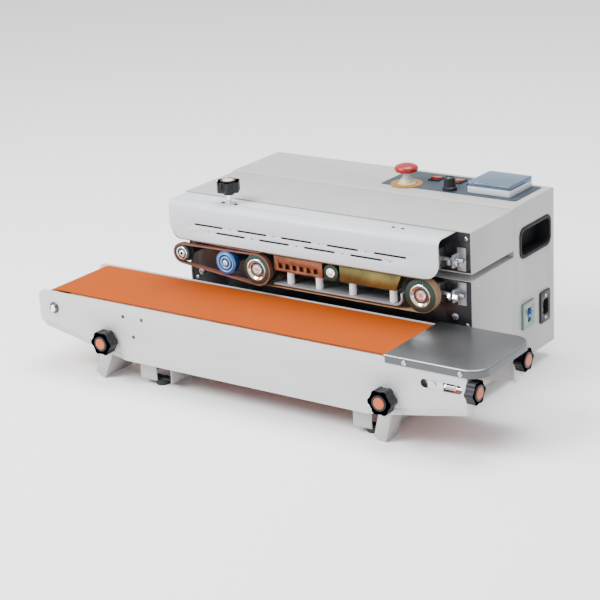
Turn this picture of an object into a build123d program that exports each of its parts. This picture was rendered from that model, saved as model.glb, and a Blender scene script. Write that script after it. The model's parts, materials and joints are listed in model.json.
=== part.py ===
"""Horizontal continuous band sealer with a belt conveyor in front.

The origin is on the floor below the middle of the machine: +X to the bag outfeed (right),
+Y to the back, +Z up. Bags travel along +X: the conveyor carries them and two facing belt
loops seal their mouths in the throat between the lower housing and the upper head.
"""

from build123d import *
import os
from math import cos, pi, radians, sin, tan

os.makedirs("parts", exist_ok=True)

# ---- overall sizes (mm) -----------------------------------------------------------------
conveyor_length = 834.0
tray_overhang = 24.0
body_inset = 189.0  # conveyor's left end to the body's left side
body_length = 552.0
head_depth = 133.0
box_depth = 137.0
conveyor_reach = 180.0  # head's front to the conveyor's front face
knob_reach = 26.0  # leg knobs in front of the conveyor
body_bottom = 26.0
head_top = 288.0
box_top = 291.0
throat_z = 215.0
throat_gap = 11.0

# ---- sheet and fits ---------------------------------------------------------------------
sheet = 1.5
plate_t = 2.0
mount_plate_t = 5.0
recess = 3.0  # mounting plates behind the head's front edge
run_fit = 0.05  # radial clearance of a shaft in its bearing
slip = 0.3  # clearance beside a sliding or turning face
belt_gap = 0.15  # clearance between a belt and its wheel

# ---- sealing mechanism ------------------------------------------------------------------
mech_front = 47.0  # wheel fronts ahead of the head's front
guide_track = 9.5  # width of the wheel's front step
seal_track = 17.5  # width of the wheel's rear step
seal_belt_t = 0.8
seal_belt_w = 15.0
guide_belt_t = 2.5
guide_belt_w = 8.5
wheel_r = 27.0
guide_step_r = 24.5
shaft_r = 8.0
gear_teeth = 28
pinion_teeth = 14
gear_backlash = 0.8
gear_w = 16.0
pulley_inset = 20.6  # body's left side to the guide pulley
pulley_r = 15.0
pulley_rise = 6.5  # guide pulley's axis above the wheel's axis
emboss_inset = 112.6
emboss_r = 20.0
emboss_rise = 3.0
emboss_lift = 1.0
drive_inset = 175.6
tension_inset = 70.3  # tension wheel to the body's right side
tension_travel = 4.0
heater_gap = 29.0  # drive wheel's axis to the heater block
heater_length = 95.0
block_h = 26.0
block_w = 18.0
press_r = 13.8
press_gap = 2.8
cooler_gap = 34.0  # cooler's end to the tension wheel's axis
cooler_slant = 11.0
post_r = 5.5

# ---- conveyor ---------------------------------------------------------------------------
conveyor_top = 140.0
belt_top = 140.7
belt_t = 1.5
belt_width = 140.0
conveyor_width = 158.0  # outside the two side plates
roller_r = 28.3
roller_inset = 33.5  # left roller's axis from the left end
tail_inset = 58.0  # tail roller's axis from the plates' right end
axle_r = 6.0
tray_length = 165.0
tray_top = 145.0
tray_skirt = 13.0
knob_r = 21.0
screw_r = 2.5
left_knob_inset = 153.0
right_knob_inset = 137.0
left_lean = 24.0
right_lean = 14.0
leg_w = 22.0

# ---- positions worked out from the sizes ------------------------------------------------
overall_length = conveyor_length + tray_overhang
overall_depth = knob_reach + conveyor_reach + head_depth + box_depth
plate_left = -overall_length / 2
plate_right = plate_left + conveyor_length
tray_right = overall_length / 2
body_left = plate_left + body_inset
body_right = body_left + body_length
conveyor_front = -overall_depth / 2 + knob_reach
conveyor_back = conveyor_front + conveyor_width
head_front = conveyor_front + conveyor_reach
head_back = head_front + head_depth
box_back = head_back + box_depth
throat_bottom = throat_z - throat_gap / 2
throat_top = throat_z + throat_gap / 2

wheel_front = head_front - mech_front
wheel_step = wheel_front + guide_track
wheel_back = wheel_step + seal_track
plate_front = head_front + recess
plate_back = plate_front + mount_plate_t
belt_out_r = wheel_r + belt_gap + seal_belt_t
wheel_z = throat_z - 0.05 - belt_out_r
belt_in_z = wheel_z + wheel_r + belt_gap
gear_module = 2 * (throat_z - wheel_z) / gear_teeth
pulley_x = body_left + pulley_inset
emboss_x = body_left + emboss_inset
drive_x = body_left + drive_inset
tension_x = body_right - tension_inset
heater_x = drive_x + heater_gap
press_x = heater_x + heater_length + press_gap + press_r
cooler_x = press_x + press_r + press_gap
cooler_end = tension_x - cooler_gap
block_z = belt_in_z - belt_gap - block_h
block_front = wheel_step
press_z = belt_in_z - belt_gap - press_r

roller_z = belt_top - belt_t - belt_gap - roller_r
left_roller_x = plate_left + roller_inset
tail_x = plate_right - tail_inset
conveyor_mid_y = (conveyor_front + conveyor_back) / 2
belt_front = conveyor_mid_y - belt_width / 2
belt_back = conveyor_mid_y + belt_width / 2
inner_front = conveyor_front + plate_t
inner_back = conveyor_back - plate_t
tray_left = tray_right - tray_length


def facing(y):
    """Sketch plane facing the front at y: local x is X, local y is Z."""
    return Plane.XZ.offset(-y)


def sideways(x):
    """Sketch plane across the machine at x: local x is Y, local y is Z."""
    return Plane.YZ.offset(x)


def mirrored(z):
    """The same height above the throat as z is below it."""
    return 2 * throat_z - z


def block(x, y, z, mode=Mode.ADD):
    """A box between pairs of limits along X, Y and Z."""
    with Locations(((x[0] + x[1]) / 2, (y[0] + y[1]) / 2, (z[0] + z[1]) / 2)):
        Box(x[1] - x[0], y[1] - y[0], z[1] - z[0], mode=mode)


def turned(x, z, steps, mode=Mode.ADD):
    """Round steps on one axis along Y, each (front, back, radius)."""
    for front, back, radius in steps:
        with Locations(Location((x, (front + back) / 2, z), (90, 0, 0))):
            Cylinder(radius, back - front, mode=mode)


def upright(x, y, steps, mode=Mode.ADD):
    """Round steps on one axis along Z, each (bottom, top, radius)."""
    for bottom, top, radius in steps:
        with Locations((x, y, (bottom + top) / 2)):
            Cylinder(radius, top - bottom, mode=mode)


def crosswise(y, z, steps, mode=Mode.ADD):
    """Round steps on one axis along X, each (left, right, radius)."""
    for left, right, radius in steps:
        with Locations(Location(((left + right) / 2, y, z), (0, 90, 0))):
            Cylinder(radius, right - left, mode=mode)


def star(radius, lobes=6):
    """Lobed outline of a hand knob, in the sketch that is open."""
    Circle(radius * 0.86)
    with PolarLocations(radius * 0.7, lobes):
        Circle(radius * 0.3)


def gear_teeth_at(x, z, teeth, phase):
    """Teeth of a spur gear, the first at the given angle."""
    half = pi * gear_module / 4 - gear_backlash / 2
    flank = tan(radians(20))
    low = 1.25 * gear_module + 0.6
    tip = 0.85 * gear_module
    tooth = [
        (-low, -half - low * flank),
        (tip, -half + tip * flank),
        (tip, half - tip * flank),
        (-low, half + low * flank),
    ]
    with Locations((x, z)):
        Circle(gear_module * teeth / 2 - 1.25 * gear_module)
        with PolarLocations(gear_module * teeth / 2, teeth, start_angle=phase):
            Polygon(*tooth, align=None)


# ==== base and housing ===================================================================
arm_top = 42.0
arm_low = 10.0
left_arm_w = 66.0
right_arm_w = 54.0
arm_t = 2.0
base_t = 2.0
arm_tab = 34.0
left_arm_inset = 12.0
right_arm_inset = 118.0
arm_front = conveyor_front + 15.0
arm_back = box_back - 14.0
left_arm = (body_left + left_arm_inset, left_arm_w)
right_arm = (body_right - right_arm_inset, right_arm_w)
arms = (left_arm, right_arm)
panel_gap = 0.2

with BuildPart() as base_frame:
    inside_x = (body_left + sheet + panel_gap, body_right - sheet - panel_gap)
    inside_y = (head_front + sheet, box_back - sheet - panel_gap)
    block(inside_x, inside_y, (body_bottom, body_bottom + base_t))
    for start, width in arms:
        span = (start, start + width)
        hollow = (start + arm_t, start + width - arm_t)
        low_front = head_front - 2.0
        block(span, (arm_front, low_front), (arm_low, arm_top))
        block(hollow, (arm_front - 1, low_front + 1), (arm_low - 1, arm_top - arm_t), Mode.SUBTRACT)
        block(span, (low_front - arm_t, low_front), (arm_low, arm_top))
        block(span, (low_front - arm_t, arm_back), (arm_low, body_bottom))
        block(hollow, (low_front, arm_back - arm_t), (arm_low - 1, body_bottom - arm_t), Mode.SUBTRACT)
        block((start, start + arm_tab), (arm_front, arm_front + arm_t), (arm_low, arm_top))
base_frame.part.label = "base_frame"
export_step(base_frame.part, "parts/base_frame.step")

foot_r = 11.0
foot_flange = 2.5
foot_ys = (arm_front + 16.0, (arm_front + arm_back) / 2, arm_back - 20.0)
with BuildPart() as rubber_feet:
    for start, width in arms:
        middle = start + width / 2
        strap = (start + arm_t, start + width - arm_t)
        for y in foot_ys:
            block(strap, (y - 7, y + 7), (arm_low, arm_low + foot_flange))
            upright(middle, y, [(0, arm_low, foot_r)])
rubber_feet.part.label = "rubber_feet"
export_step(rubber_feet.part, "parts/rubber_feet.step")

edge_r = 3.0
shaft_hole = shaft_r + 4.0
handle_y = (head_back + 23.0, head_back + 122.0)
handle_z = (202.0, 247.0)
handle_deep = 26.0
handle_wall = 2.0
handle_cut = 0.2
inlet_y = head_back + 102.0
inlet_z = 96.0
inlet_size = (28.0, 48.0)
breaker_y = head_back + 44.0
breaker_z = 100.0
breaker_size = (40.0, 44.0)
panel_x = (body_right - 268.0, body_right - 14.0)
panel_y = (head_back + 34.0, head_back + 124.0)
panel_t = 1.0
panel_top = box_top + panel_t
estop_at = (body_right - 227.0, head_back + 50.0)
speed_at = (body_right - 143.0, head_back + 48.0)
rocker_y = head_back + 95.0
rocker_xs = (body_right - 195.0, body_right - 154.0, body_right - 121.0)
rocker_size = (14.0, 20.0)
rocker_cut = (rocker_size[0] + 1.0, rocker_size[1] + 1.4)
estop_hole = 11.2
speed_hole = 5.0
controller_x = (body_right - 110.0, body_right - 30.0)
controller_y = (head_back + 46.0, head_back + 122.0)


def rounded_slot(span_y, span_z, corner):
    """Rounded rectangle between pairs of limits, in the side sketch that is open."""
    with Locations(((span_y[0] + span_y[1]) / 2, (span_z[0] + span_z[1]) / 2)):
        RectangleRounded(span_y[1] - span_y[0], span_z[1] - span_z[0], corner)


def panel_openings(bottom, top):
    """Cut the holes for the controls through what lies between two heights."""
    with BuildSketch(Plane.XY.offset(bottom)) as holes:
        with Locations(estop_at):
            Circle(estop_hole)
        with Locations(speed_at):
            Circle(speed_hole)
        with Locations(*[(x, rocker_y) for x in rocker_xs]):
            Rectangle(*rocker_cut)
        cut_x = (controller_x[0] + controller_x[1]) / 2
        cut_y = (controller_y[0] + controller_y[1]) / 2
        with Locations((cut_x, cut_y)):
            Rectangle(60, 60)
    extrude(holes.sketch, amount=top - bottom, mode=Mode.SUBTRACT)


with BuildPart() as rear_box_shell:
    block((body_left, body_right), (head_back, box_back), (body_bottom, box_top))
    fillet(rear_box_shell.edges().group_by(Axis.Z)[-1], edge_r)
    hollow_x = (body_left + sheet, body_right - sheet)
    block(hollow_x, (head_back + sheet, box_back + 1), (body_bottom - 1, box_top - sheet), Mode.SUBTRACT)
    wall_y = (head_back - 1, head_back + sheet + 1)
    block(hollow_x, wall_y, (body_bottom - 1, body_bottom + base_t + panel_gap), Mode.SUBTRACT)
    for z in (wheel_z, mirrored(wheel_z)):
        turned(drive_x, z, [(wall_y[0], wall_y[1], shaft_hole)], Mode.SUBTRACT)
    with BuildSketch(sideways(body_left - 1)):
        rounded_slot(handle_y, handle_z, 12)
    extrude(amount=body_length + 2, mode=Mode.SUBTRACT)
    with BuildSketch(sideways(body_right - sheet - 1)):
        with Locations((inlet_y, inlet_z)):
            Rectangle(*inlet_size)
        with Locations((breaker_y, breaker_z)):
            Rectangle(*breaker_size)
    extrude(amount=sheet + 2, mode=Mode.SUBTRACT)
    panel_openings(box_top - sheet - 1, box_top + 1)
rear_box_shell.part.label = "rear_box_shell"
export_step(rear_box_shell.part, "parts/rear_box_shell.step")

fan_x = body_left + 150.0
fan_z = 160.0
fan_r = 44.0
fan_hub_r = 17.0
fan_depth = 25.0
back_inset = 4.0
back_y = (box_back - back_inset - sheet, box_back - back_inset)
with BuildPart() as rear_panel:
    panel_span = (body_left + sheet + panel_gap, body_right - sheet - panel_gap)
    block(panel_span, back_y, (body_bottom + base_t + panel_gap, box_top - sheet - panel_gap))
    turned(fan_x, fan_z, [(back_y[0] - 1, back_y[1] + 1, fan_r)], Mode.SUBTRACT)
    for x in (body_right - 150.0, body_right - 90.0):
        with BuildSketch(facing(back_y[0] - 1)):
            with GridLocations(0, 12, 1, 6):
                with Locations((x, 110)):
                    SlotOverall(46, 5)
        extrude(amount=-(sheet + 2), mode=Mode.SUBTRACT)
    ring = (back_y[0] - fan_depth, back_y[1])
    turned(fan_x, fan_z, [(ring[0], ring[1], fan_r + 4)])
    turned(fan_x, fan_z, [(ring[0] - 1, ring[1] + 1, fan_r)], Mode.SUBTRACT)
    guard = (back_y[1] - 3.0, back_y[1])
    turned(fan_x, fan_z, [(guard[0], guard[1], fan_hub_r)])
    for radius in (26.0, 36.0):
        with BuildSketch(facing(guard[0])):
            with Locations((fan_x, fan_z)):
                Circle(radius + 1)
                Circle(radius - 1, mode=Mode.SUBTRACT)
        extrude(amount=guard[0] - guard[1])
    with BuildSketch(facing(guard[0])):
        with Locations((fan_x, fan_z)):
            with PolarLocations((fan_r + fan_hub_r) / 2, 4, start_angle=45):
                Rectangle(fan_r - fan_hub_r + 4, 3)
    extrude(amount=guard[0] - guard[1])
rear_panel.part.label = "rear_panel"
export_step(rear_panel.part, "parts/rear_panel.step")

fan_front = ring[0] + 3.0
with BuildPart() as fan_rotor:
    turned(fan_x, fan_z, [(fan_front, guard[0] - slip, fan_hub_r - 1)])
    blade_l = fan_r - fan_hub_r - 1.5
    with BuildSketch(facing(fan_front + 2)):
        with Locations((fan_x, fan_z)):
            with PolarLocations(fan_hub_r - 2 + blade_l / 2, 7):
                Rectangle(blade_l + 2, 7)
    extrude(amount=-(fan_depth - 12))
fan_rotor.part.label = "fan_rotor"
export_step(fan_rotor.part, "parts/fan_rotor.step")

knob_y = head_front - 26.0
with BuildPart() as upper_head_cover:
    block((body_left, body_right), (head_front, head_back), (throat_top, head_top))
    fillet(upper_head_cover.edges().filter_by(Axis.Y).group_by(Axis.Z)[-1], edge_r)
    span = (body_left + sheet, body_right - sheet)
    block(span, (head_front - 1, head_back + 1), (throat_top + sheet, head_top - sheet), Mode.SUBTRACT)
upper_head_cover.part.label = "upper_head_cover"
export_step(upper_head_cover.part, "parts/upper_head_cover.step")

with BuildPart() as lower_housing:
    block((body_left, body_right), (head_front, head_back), (body_bottom, throat_bottom))
    block(span, (head_front - 1, head_back + 1), (body_bottom - 1, throat_bottom - sheet), Mode.SUBTRACT)
    lip = (body_left + sheet, body_right - sheet)
    block(lip, (head_front, head_front + sheet), (body_bottom + 3, body_bottom + 22))
lower_housing.part.label = "lower_housing"
export_step(lower_housing.part, "parts/lower_housing.step")

side_cups = ((body_left, 1), (body_right, -1))
with BuildPart() as side_handles:
    for face, inward in side_cups:
        rim = 4.0
        rim_t = 1.5
        with BuildSketch(sideways(face)):
            rounded_slot((handle_y[0] - rim, handle_y[1] + rim), (handle_z[0] - rim, handle_z[1] + rim), 15)
        extrude(amount=-inward * rim_t)
        with BuildSketch(sideways(face)):
            shrink = handle_cut
            rounded_slot(
                (handle_y[0] + shrink, handle_y[1] - shrink), (handle_z[0] + shrink, handle_z[1] - shrink), 12 - shrink
            )
        extrude(amount=inward * handle_deep)
        with BuildSketch(sideways(face - inward * (rim_t + 1))):
            shrink = handle_cut + handle_wall
            rounded_slot(
                (handle_y[0] + shrink, handle_y[1] - shrink), (handle_z[0] + shrink, handle_z[1] - shrink), 12 - shrink
            )
        extrude(amount=inward * (handle_deep + rim_t + 1 - handle_wall), mode=Mode.SUBTRACT)
side_handles.part.label = "side_handles"
export_step(side_handles.part, "parts/side_handles.step")

# ==== mounting plates ====================================================================
bearing_r = 14.0
bearing_l = 30.0
spindle_r = 5.0
spindle_hole = spindle_r + run_fit
carrier_neck = (20.0, 14.0)
window = (carrier_neck[0] + 2 * tension_travel + 2 * slip, carrier_neck[1] + 2 * slip)
lift_neck = (14.0, 16.0)
lift_window = (lift_neck[0] + 2 * slip, lift_neck[1] + emboss_lift + 2 * slip)
emboss_z = wheel_z + emboss_rise
upper_emboss_z = mirrored(emboss_z)
pulley_z = wheel_z + pulley_rise
feed_x = body_left + 118.0
feed_r = 14.0
feed_z = roller_z - roller_r + feed_r
window_shift = (window[0] - carrier_neck[0]) / 2 - slip

with BuildPart() as mounting_plates:
    x_span = (body_left + sheet + panel_gap, body_right - sheet - panel_gap)
    lower_span = (body_bottom + base_t + panel_gap, throat_bottom - sheet - panel_gap)
    upper_span = (throat_top + sheet + panel_gap, head_top - sheet - panel_gap)
    for z_span in (lower_span, upper_span):
        block(x_span, (plate_front, plate_back), z_span)
    for z in (wheel_z, mirrored(wheel_z)):
        turned(drive_x, z, [(plate_back, plate_back + bearing_l, bearing_r)])
        turned(drive_x, z, [(plate_front - 1, plate_back + bearing_l + 1, shaft_r + run_fit)], Mode.SUBTRACT)
        pin_z = pulley_z if z == wheel_z else mirrored(pulley_z)
        roll_z = press_z if z == wheel_z else mirrored(press_z)
        for x, z_pin in ((pulley_x, pin_z), (press_x, roll_z)):
            turned(x, z_pin, [(plate_front - 1, plate_back + 1, spindle_hole)], Mode.SUBTRACT)
        middle = tension_x - window_shift
        x_cut = (middle - window[0] / 2, middle + window[0] / 2)
        block(x_cut, (plate_front - 1, plate_back + 1), (z - window[1] / 2, z + window[1] / 2), Mode.SUBTRACT)
    turned(emboss_x, emboss_z, [(plate_front - 1, plate_back + 1, spindle_hole)], Mode.SUBTRACT)
    turned(feed_x, feed_z, [(plate_front - 1, plate_back + 1, shaft_r + run_fit)], Mode.SUBTRACT)
    z_cut = (upper_emboss_z - lift_neck[1] / 2 - slip, upper_emboss_z + lift_neck[1] / 2 + emboss_lift + slip)
    x_cut = (emboss_x - lift_window[0] / 2, emboss_x + lift_window[0] / 2)
    block(x_cut, (plate_front - 1, plate_back + 1), z_cut, Mode.SUBTRACT)
mounting_plates.part.label = "mounting_plates"
export_step(mounting_plates.part, "parts/mounting_plates.step")

cover_front = head_front - 51.3
cover_x = (body_left + 3.2, body_right - 28.0)
cover_top = 286.0
cover_bottom = 222.0
cover_t = 1.2
cover_bend = 12.0
cover_corner = 25.0
vent_start = 53.0
vent_pitch = 88.0
vent_l = 59.0
vent_h = 3.4
vent_zs = (250.5, 240.6)
pinhole_r = 1.4
rod_r = 4.0
with BuildPart() as front_cover:
    with BuildSketch(sideways(cover_x[0])):
        outer_y = (cover_front, plate_front)
        with Locations(((outer_y[0] + outer_y[1]) / 2, (cover_bottom + cover_top) / 2)):
            Rectangle(outer_y[1] - outer_y[0], cover_top - cover_bottom)
    extrude(amount=cover_x[1] - cover_x[0])
    bend = front_cover.edges().filter_by(Axis.X).group_by(Axis.Z)[-1].sort_by(Axis.Y)[0]
    fillet(bend, cover_bend)
    faces = front_cover.faces()
    open_faces = faces.filter_by(Axis.X) + faces.sort_by(Axis.Z)[:1] + faces.sort_by(Axis.Y)[-1:]
    offset(amount=-cover_t, openings=open_faces)
    fillet(front_cover.edges().filter_by(Axis.Y).group_by(Axis.Z)[0], cover_corner)
    with BuildSketch(facing(cover_front - 1)):
        for row, z in enumerate(vent_zs):
            for i in range(5 - row):
                start = cover_x[0] + vent_start + row * vent_pitch / 2 + i * vent_pitch
                with Locations((start + vent_l / 2, z)):
                    SlotOverall(vent_l, vent_h)
            gap_middle = cover_x[0] + vent_start - (vent_pitch - vent_l) / 2 + row * vent_pitch / 2
            for i in range(1 - row, 5):
                with Locations((gap_middle + i * vent_pitch, z)):
                    Circle(pinhole_r)
    extrude(amount=-(cover_t + 2), mode=Mode.SUBTRACT)
    upright(emboss_x, knob_y, [(cover_top - cover_t - 1, cover_top + 1, rod_r + run_fit)], Mode.SUBTRACT)
    for side in (-1, 1):
        upright(emboss_x + side * 13.0, knob_y, [(cover_top - cover_t - 1, cover_top + 1, 2.2)], Mode.SUBTRACT)
front_cover.part.label = "front_cover"
export_step(front_cover.part, "parts/front_cover.step")

# ==== sealing wheels, blocks and belts ===================================================
gear_front = head_back + 12.0
gear_back = gear_front + gear_w
half_pitch = 180.0 / gear_teeth
collar_r = 12.0
collar_t = 3.0
levels = (("lower", wheel_z, 0.0), ("upper", mirrored(wheel_z), half_pitch))
for level, z, phase in levels:
    with BuildPart() as gear_shaft:
        turned(drive_x, z, [(wheel_front + 3, gear_back + 3, shaft_r)])
        turned(drive_x, z, [(wheel_back, wheel_back + collar_t, collar_r)])
        turned(drive_x, z, [(gear_front - 6, gear_front, collar_r)])
        with BuildSketch(facing(gear_front)):
            gear_teeth_at(drive_x, z, gear_teeth, phase)
        extrude(amount=-gear_w)
    gear_shaft.part.label = f"{level}_gear_shaft"
    export_step(gear_shaft.part, f"parts/{level}_gear_shaft.step")

    hub_r = 16.0
    hub_cut = 3.0
    with BuildPart() as drive_wheel:
        turned(drive_x, z, [(wheel_front, wheel_step, guide_step_r), (wheel_step, wheel_back, wheel_r)])
        turned(drive_x, z, [(wheel_front - 1, wheel_front + hub_cut, hub_r)], Mode.SUBTRACT)
        turned(drive_x, z, [(wheel_front, wheel_back + 1, shaft_r)], Mode.SUBTRACT)
    drive_wheel.part.label = f"{level}_drive_wheel"
    export_step(drive_wheel.part, f"parts/{level}_drive_wheel.step")

    carrier_half = (22.0, 16.0)
    carrier_front = wheel_back + 3.0
    flange = (carrier_neck[0] + 12.0, carrier_neck[1] + 12.0)
    bracket_x = body_right - 25.0
    bracket_t = 3.0
    stud_r = 3.0
    stud_y = (carrier_front + plate_front) / 2
    with BuildPart() as wheel_carrier:
        x_span = (tension_x - carrier_half[0], tension_x + carrier_half[0])
        block(x_span, (carrier_front, plate_front - slip), (z - carrier_half[1], z + carrier_half[1]))
        neck_x = (tension_x - carrier_neck[0] / 2, tension_x + carrier_neck[0] / 2)
        block(neck_x, (plate_front - slip, plate_back + slip), (z - carrier_neck[1] / 2, z + carrier_neck[1] / 2))
        lip_x = (tension_x - flange[0] / 2, tension_x + flange[0] / 2)
        lip_y = (plate_back + slip, plate_back + slip + 5)
        block(lip_x, lip_y, (z - flange[1] / 2, z + flange[1] / 2))
        turned(tension_x, z, [(carrier_front - 1, lip_y[1] + 1, spindle_hole)], Mode.SUBTRACT)
        crosswise(stud_y, z, [(tension_x + spindle_hole + 5, bracket_x + bracket_t + 12, stud_r)])
    wheel_carrier.part.label = f"{level}_wheel_carrier"
    export_step(wheel_carrier.part, f"parts/{level}_wheel_carrier.step")

    with BuildPart() as tension_wheel:
        turned(tension_x, z, [(wheel_step, wheel_back, wheel_r)])
        turned(tension_x, z, [(wheel_step - 1, wheel_step + hub_cut, hub_r)], Mode.SUBTRACT)
        turned(tension_x, z, [(wheel_step + 1, lip_y[1] + slip, spindle_r)])
        turned(tension_x, z, [(lip_y[1] + slip, lip_y[1] + slip + 3, spindle_r + 3)])
        turned(tension_x, z, [(wheel_back, carrier_front - slip, spindle_r + 3)])
    tension_wheel.part.label = f"{level}_tension_wheel"
    export_step(tension_wheel.part, f"parts/{level}_tension_wheel.step")

    roll_z = press_z if level == "lower" else mirrored(press_z)
    with BuildPart() as press_roller:
        turned(press_x, roll_z, [(block_front, wheel_back, press_r)])
        turned(press_x, roll_z, [(wheel_back, plate_front - slip, spindle_r + 2)])
        turned(press_x, roll_z, [(block_front, plate_back + slip, spindle_r)])
        turned(press_x, roll_z, [(plate_back + slip, plate_back + 3, spindle_r + 2)])
    press_roller.part.label = f"{level}_press_roller"
    export_step(press_roller.part, f"parts/{level}_press_roller.step")

    pin_z = pulley_z if level == "lower" else mirrored(pulley_z)
    with BuildPart() as guide_pulley:
        turned(pulley_x, pin_z, [(wheel_front + 1, wheel_step + 2, pulley_r)])
        turned(pulley_x, pin_z, [(wheel_step + 2, wheel_step + 5, pulley_r + 1.5)])
        turned(pulley_x, pin_z, [(wheel_step + 5, plate_front - slip, spindle_r + 3)])
        turned(pulley_x, pin_z, [(wheel_front + 1, plate_back + slip, spindle_r)])
        turned(pulley_x, pin_z, [(plate_back + slip, plate_back + 3, spindle_r + 3)])
    guide_pulley.part.label = f"{level}_guide_pulley"
    export_step(guide_pulley.part, f"parts/{level}_guide_pulley.step")

emboss_back = wheel_front + 13.0
with BuildPart() as lower_emboss_wheel:
    turned(emboss_x, emboss_z, [(wheel_front + 1, emboss_back, emboss_r)])
    turned(emboss_x, emboss_z, [(wheel_front, wheel_front + 3, 13)], Mode.SUBTRACT)
    turned(emboss_x, emboss_z, [(emboss_back, plate_front - slip, spindle_r + 3)])
    turned(emboss_x, emboss_z, [(wheel_front + 2, plate_back + slip, spindle_r)])
    turned(emboss_x, emboss_z, [(plate_back + slip, plate_back + 3, spindle_r + 3)])
lower_emboss_wheel.part.label = "lower_emboss_wheel"
export_step(lower_emboss_wheel.part, "parts/lower_emboss_wheel.step")

lift_half = 15.0
lift_front = emboss_back + 2.0
lift_top = mirrored(emboss_z) + emboss_r + 2.0
with BuildPart() as emboss_carrier:
    x_span = (emboss_x - lift_half, emboss_x + lift_half)
    block(x_span, (lift_front, plate_front - slip), (upper_emboss_z - 14, lift_top))
    neck_x = (emboss_x - lift_neck[0] / 2, emboss_x + lift_neck[0] / 2)
    neck_z = (upper_emboss_z - lift_neck[1] / 2, upper_emboss_z + lift_neck[1] / 2)
    block(neck_x, (plate_front - slip, plate_back + slip), neck_z)
    block((neck_x[0] - 5, neck_x[1] + 5), (plate_back + slip, plate_back + 5), (neck_z[0] - 3, neck_z[1] + 5))
    turned(emboss_x, upper_emboss_z, [(lift_front - 1, plate_back + 6, spindle_hole)], Mode.SUBTRACT)
    rod_low = lift_top - 5.0
    upright(emboss_x, knob_y, [(rod_low - emboss_lift - slip, lift_top + 1, rod_r + run_fit)], Mode.SUBTRACT)
emboss_carrier.part.label = "emboss_carrier"
export_step(emboss_carrier.part, "parts/emboss_carrier.step")

with BuildPart() as upper_emboss_wheel:
    turned(emboss_x, upper_emboss_z, [(wheel_front + 1, emboss_back, emboss_r)])
    turned(emboss_x, upper_emboss_z, [(emboss_back, lift_front - slip, spindle_r + 3)])
    turned(emboss_x, upper_emboss_z, [(emboss_back, plate_back + 5 + slip, spindle_r)])
    turned(emboss_x, upper_emboss_z, [(plate_back + 5 + slip, plate_back + 8, spindle_r + 3)])
upper_emboss_wheel.part.label = "upper_emboss_wheel"
export_step(upper_emboss_wheel.part, "parts/upper_emboss_wheel.step")

pressure_top = 329.0
pressure_knob_t = 22.0
pressure_knob_r = 20.0
with BuildPart() as pressure_knob:
    low = rod_low + slip
    upright(emboss_x, knob_y, [(low, pressure_top - 4, rod_r)])
    upright(emboss_x, knob_y, [(pressure_top - pressure_knob_t - 5, pressure_top - pressure_knob_t, 9)])
    with BuildSketch(Plane.XY.offset(pressure_top - pressure_knob_t)):
        with Locations((emboss_x, knob_y)):
            star(pressure_knob_r)
    extrude(amount=pressure_knob_t - 4)
    upright(emboss_x, knob_y, [(pressure_top - 4, pressure_top, pressure_knob_r * 0.5)])
pressure_knob.part.label = "pressure_knob"
export_step(pressure_knob.part, "parts/pressure_knob.step")

shelf_t = 3.0
shelf_gap = 4.0
shelf_z = wheel_z - belt_out_r + seal_belt_t + shelf_gap
shelf_left = heater_x - 1.0
shelf_bend = 12.0
shelf_rise = 22.0
shelf_right = tension_x - wheel_r - tension_travel - 3.0


def both(z_low, z_high):
    """The span below the throat and the same span mirrored above it."""
    return ((z_low, z_high), (mirrored(z_high), mirrored(z_low)))


with BuildPart() as heater_blocks:
    for z_span in both(block_z, block_z + block_h):
        block((heater_x, heater_x + heater_length), (block_front, block_front + block_w), z_span)
    hole = (8.0, 8.5)
    pitch = (heater_length - 12.0) / 6
    for row_z in (block_z + 9.0, mirrored(block_z + 9.0)):
        for i in range(6):
            middle = heater_x + 6.0 + (i + 0.5) * pitch
            x_span = (middle - hole[0] / 2, middle + hole[0] / 2)
            block(x_span, (block_front - 1, block_front + 9), (row_z - hole[1] / 2, row_z + hole[1] / 2), Mode.SUBTRACT)
heater_blocks.part.label = "heater_blocks"
export_step(heater_blocks.part, "parts/heater_blocks.step")

with BuildPart() as cooling_blocks:
    for top, low in ((block_z + block_h, block_z), (mirrored(block_z + block_h), mirrored(block_z))):
        with BuildSketch(facing(block_front)):
            with BuildLine():
                Polyline(
                    (cooler_x, top),
                    (cooler_end, top),
                    (cooler_end - cooler_slant, low),
                    (cooler_x, low),
                    close=True,
                )
            make_face()
        extrude(amount=-block_w)
cooling_blocks.part.label = "cooling_blocks"
export_step(cooling_blocks.part, "parts/cooling_blocks.step")

bracket_half = 18.5
with BuildPart() as mechanism_brackets:
    for side in (1, -1):

        def at(z):
            return z if side == 1 else mirrored(z)

        with BuildSketch(facing(block_front)):
            with BuildLine():
                FilletPolyline(
                    (shelf_left, at(shelf_z + shelf_t / 2)),
                    (shelf_right, at(shelf_z + shelf_t / 2)),
                    (shelf_right, at(shelf_z + shelf_rise)),
                    radius=shelf_bend,
                )
            trace(line_width=shelf_t)
        extrude(amount=-(plate_front - block_front))
        post_xs = (
            heater_x + 27.0,
            heater_x + heater_length - 12.0,
            cooler_x + 19.0,
            cooler_end - cooler_slant - 9.0,
        )
        for x in post_xs:
            z_ends = sorted((at(shelf_z + shelf_t), at(block_z)))
            upright(x, block_front + block_w / 2, [(z_ends[0], z_ends[1], post_r)])
    for z in (wheel_z, mirrored(wheel_z)):
        base_y = (plate_front - bracket_t, plate_front)
        block((bracket_x, bracket_x + 15), base_y, (z - bracket_half, z + bracket_half))
        block((bracket_x, bracket_x + bracket_t), (carrier_front, plate_front), (z - 10, z + 10))
        crosswise(stud_y, z, [(bracket_x - 1, bracket_x + bracket_t + 1, stud_r + 0.4)], Mode.SUBTRACT)
mechanism_brackets.part.label = "mechanism_brackets"
export_step(mechanism_brackets.part, "parts/mechanism_brackets.step")

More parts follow.
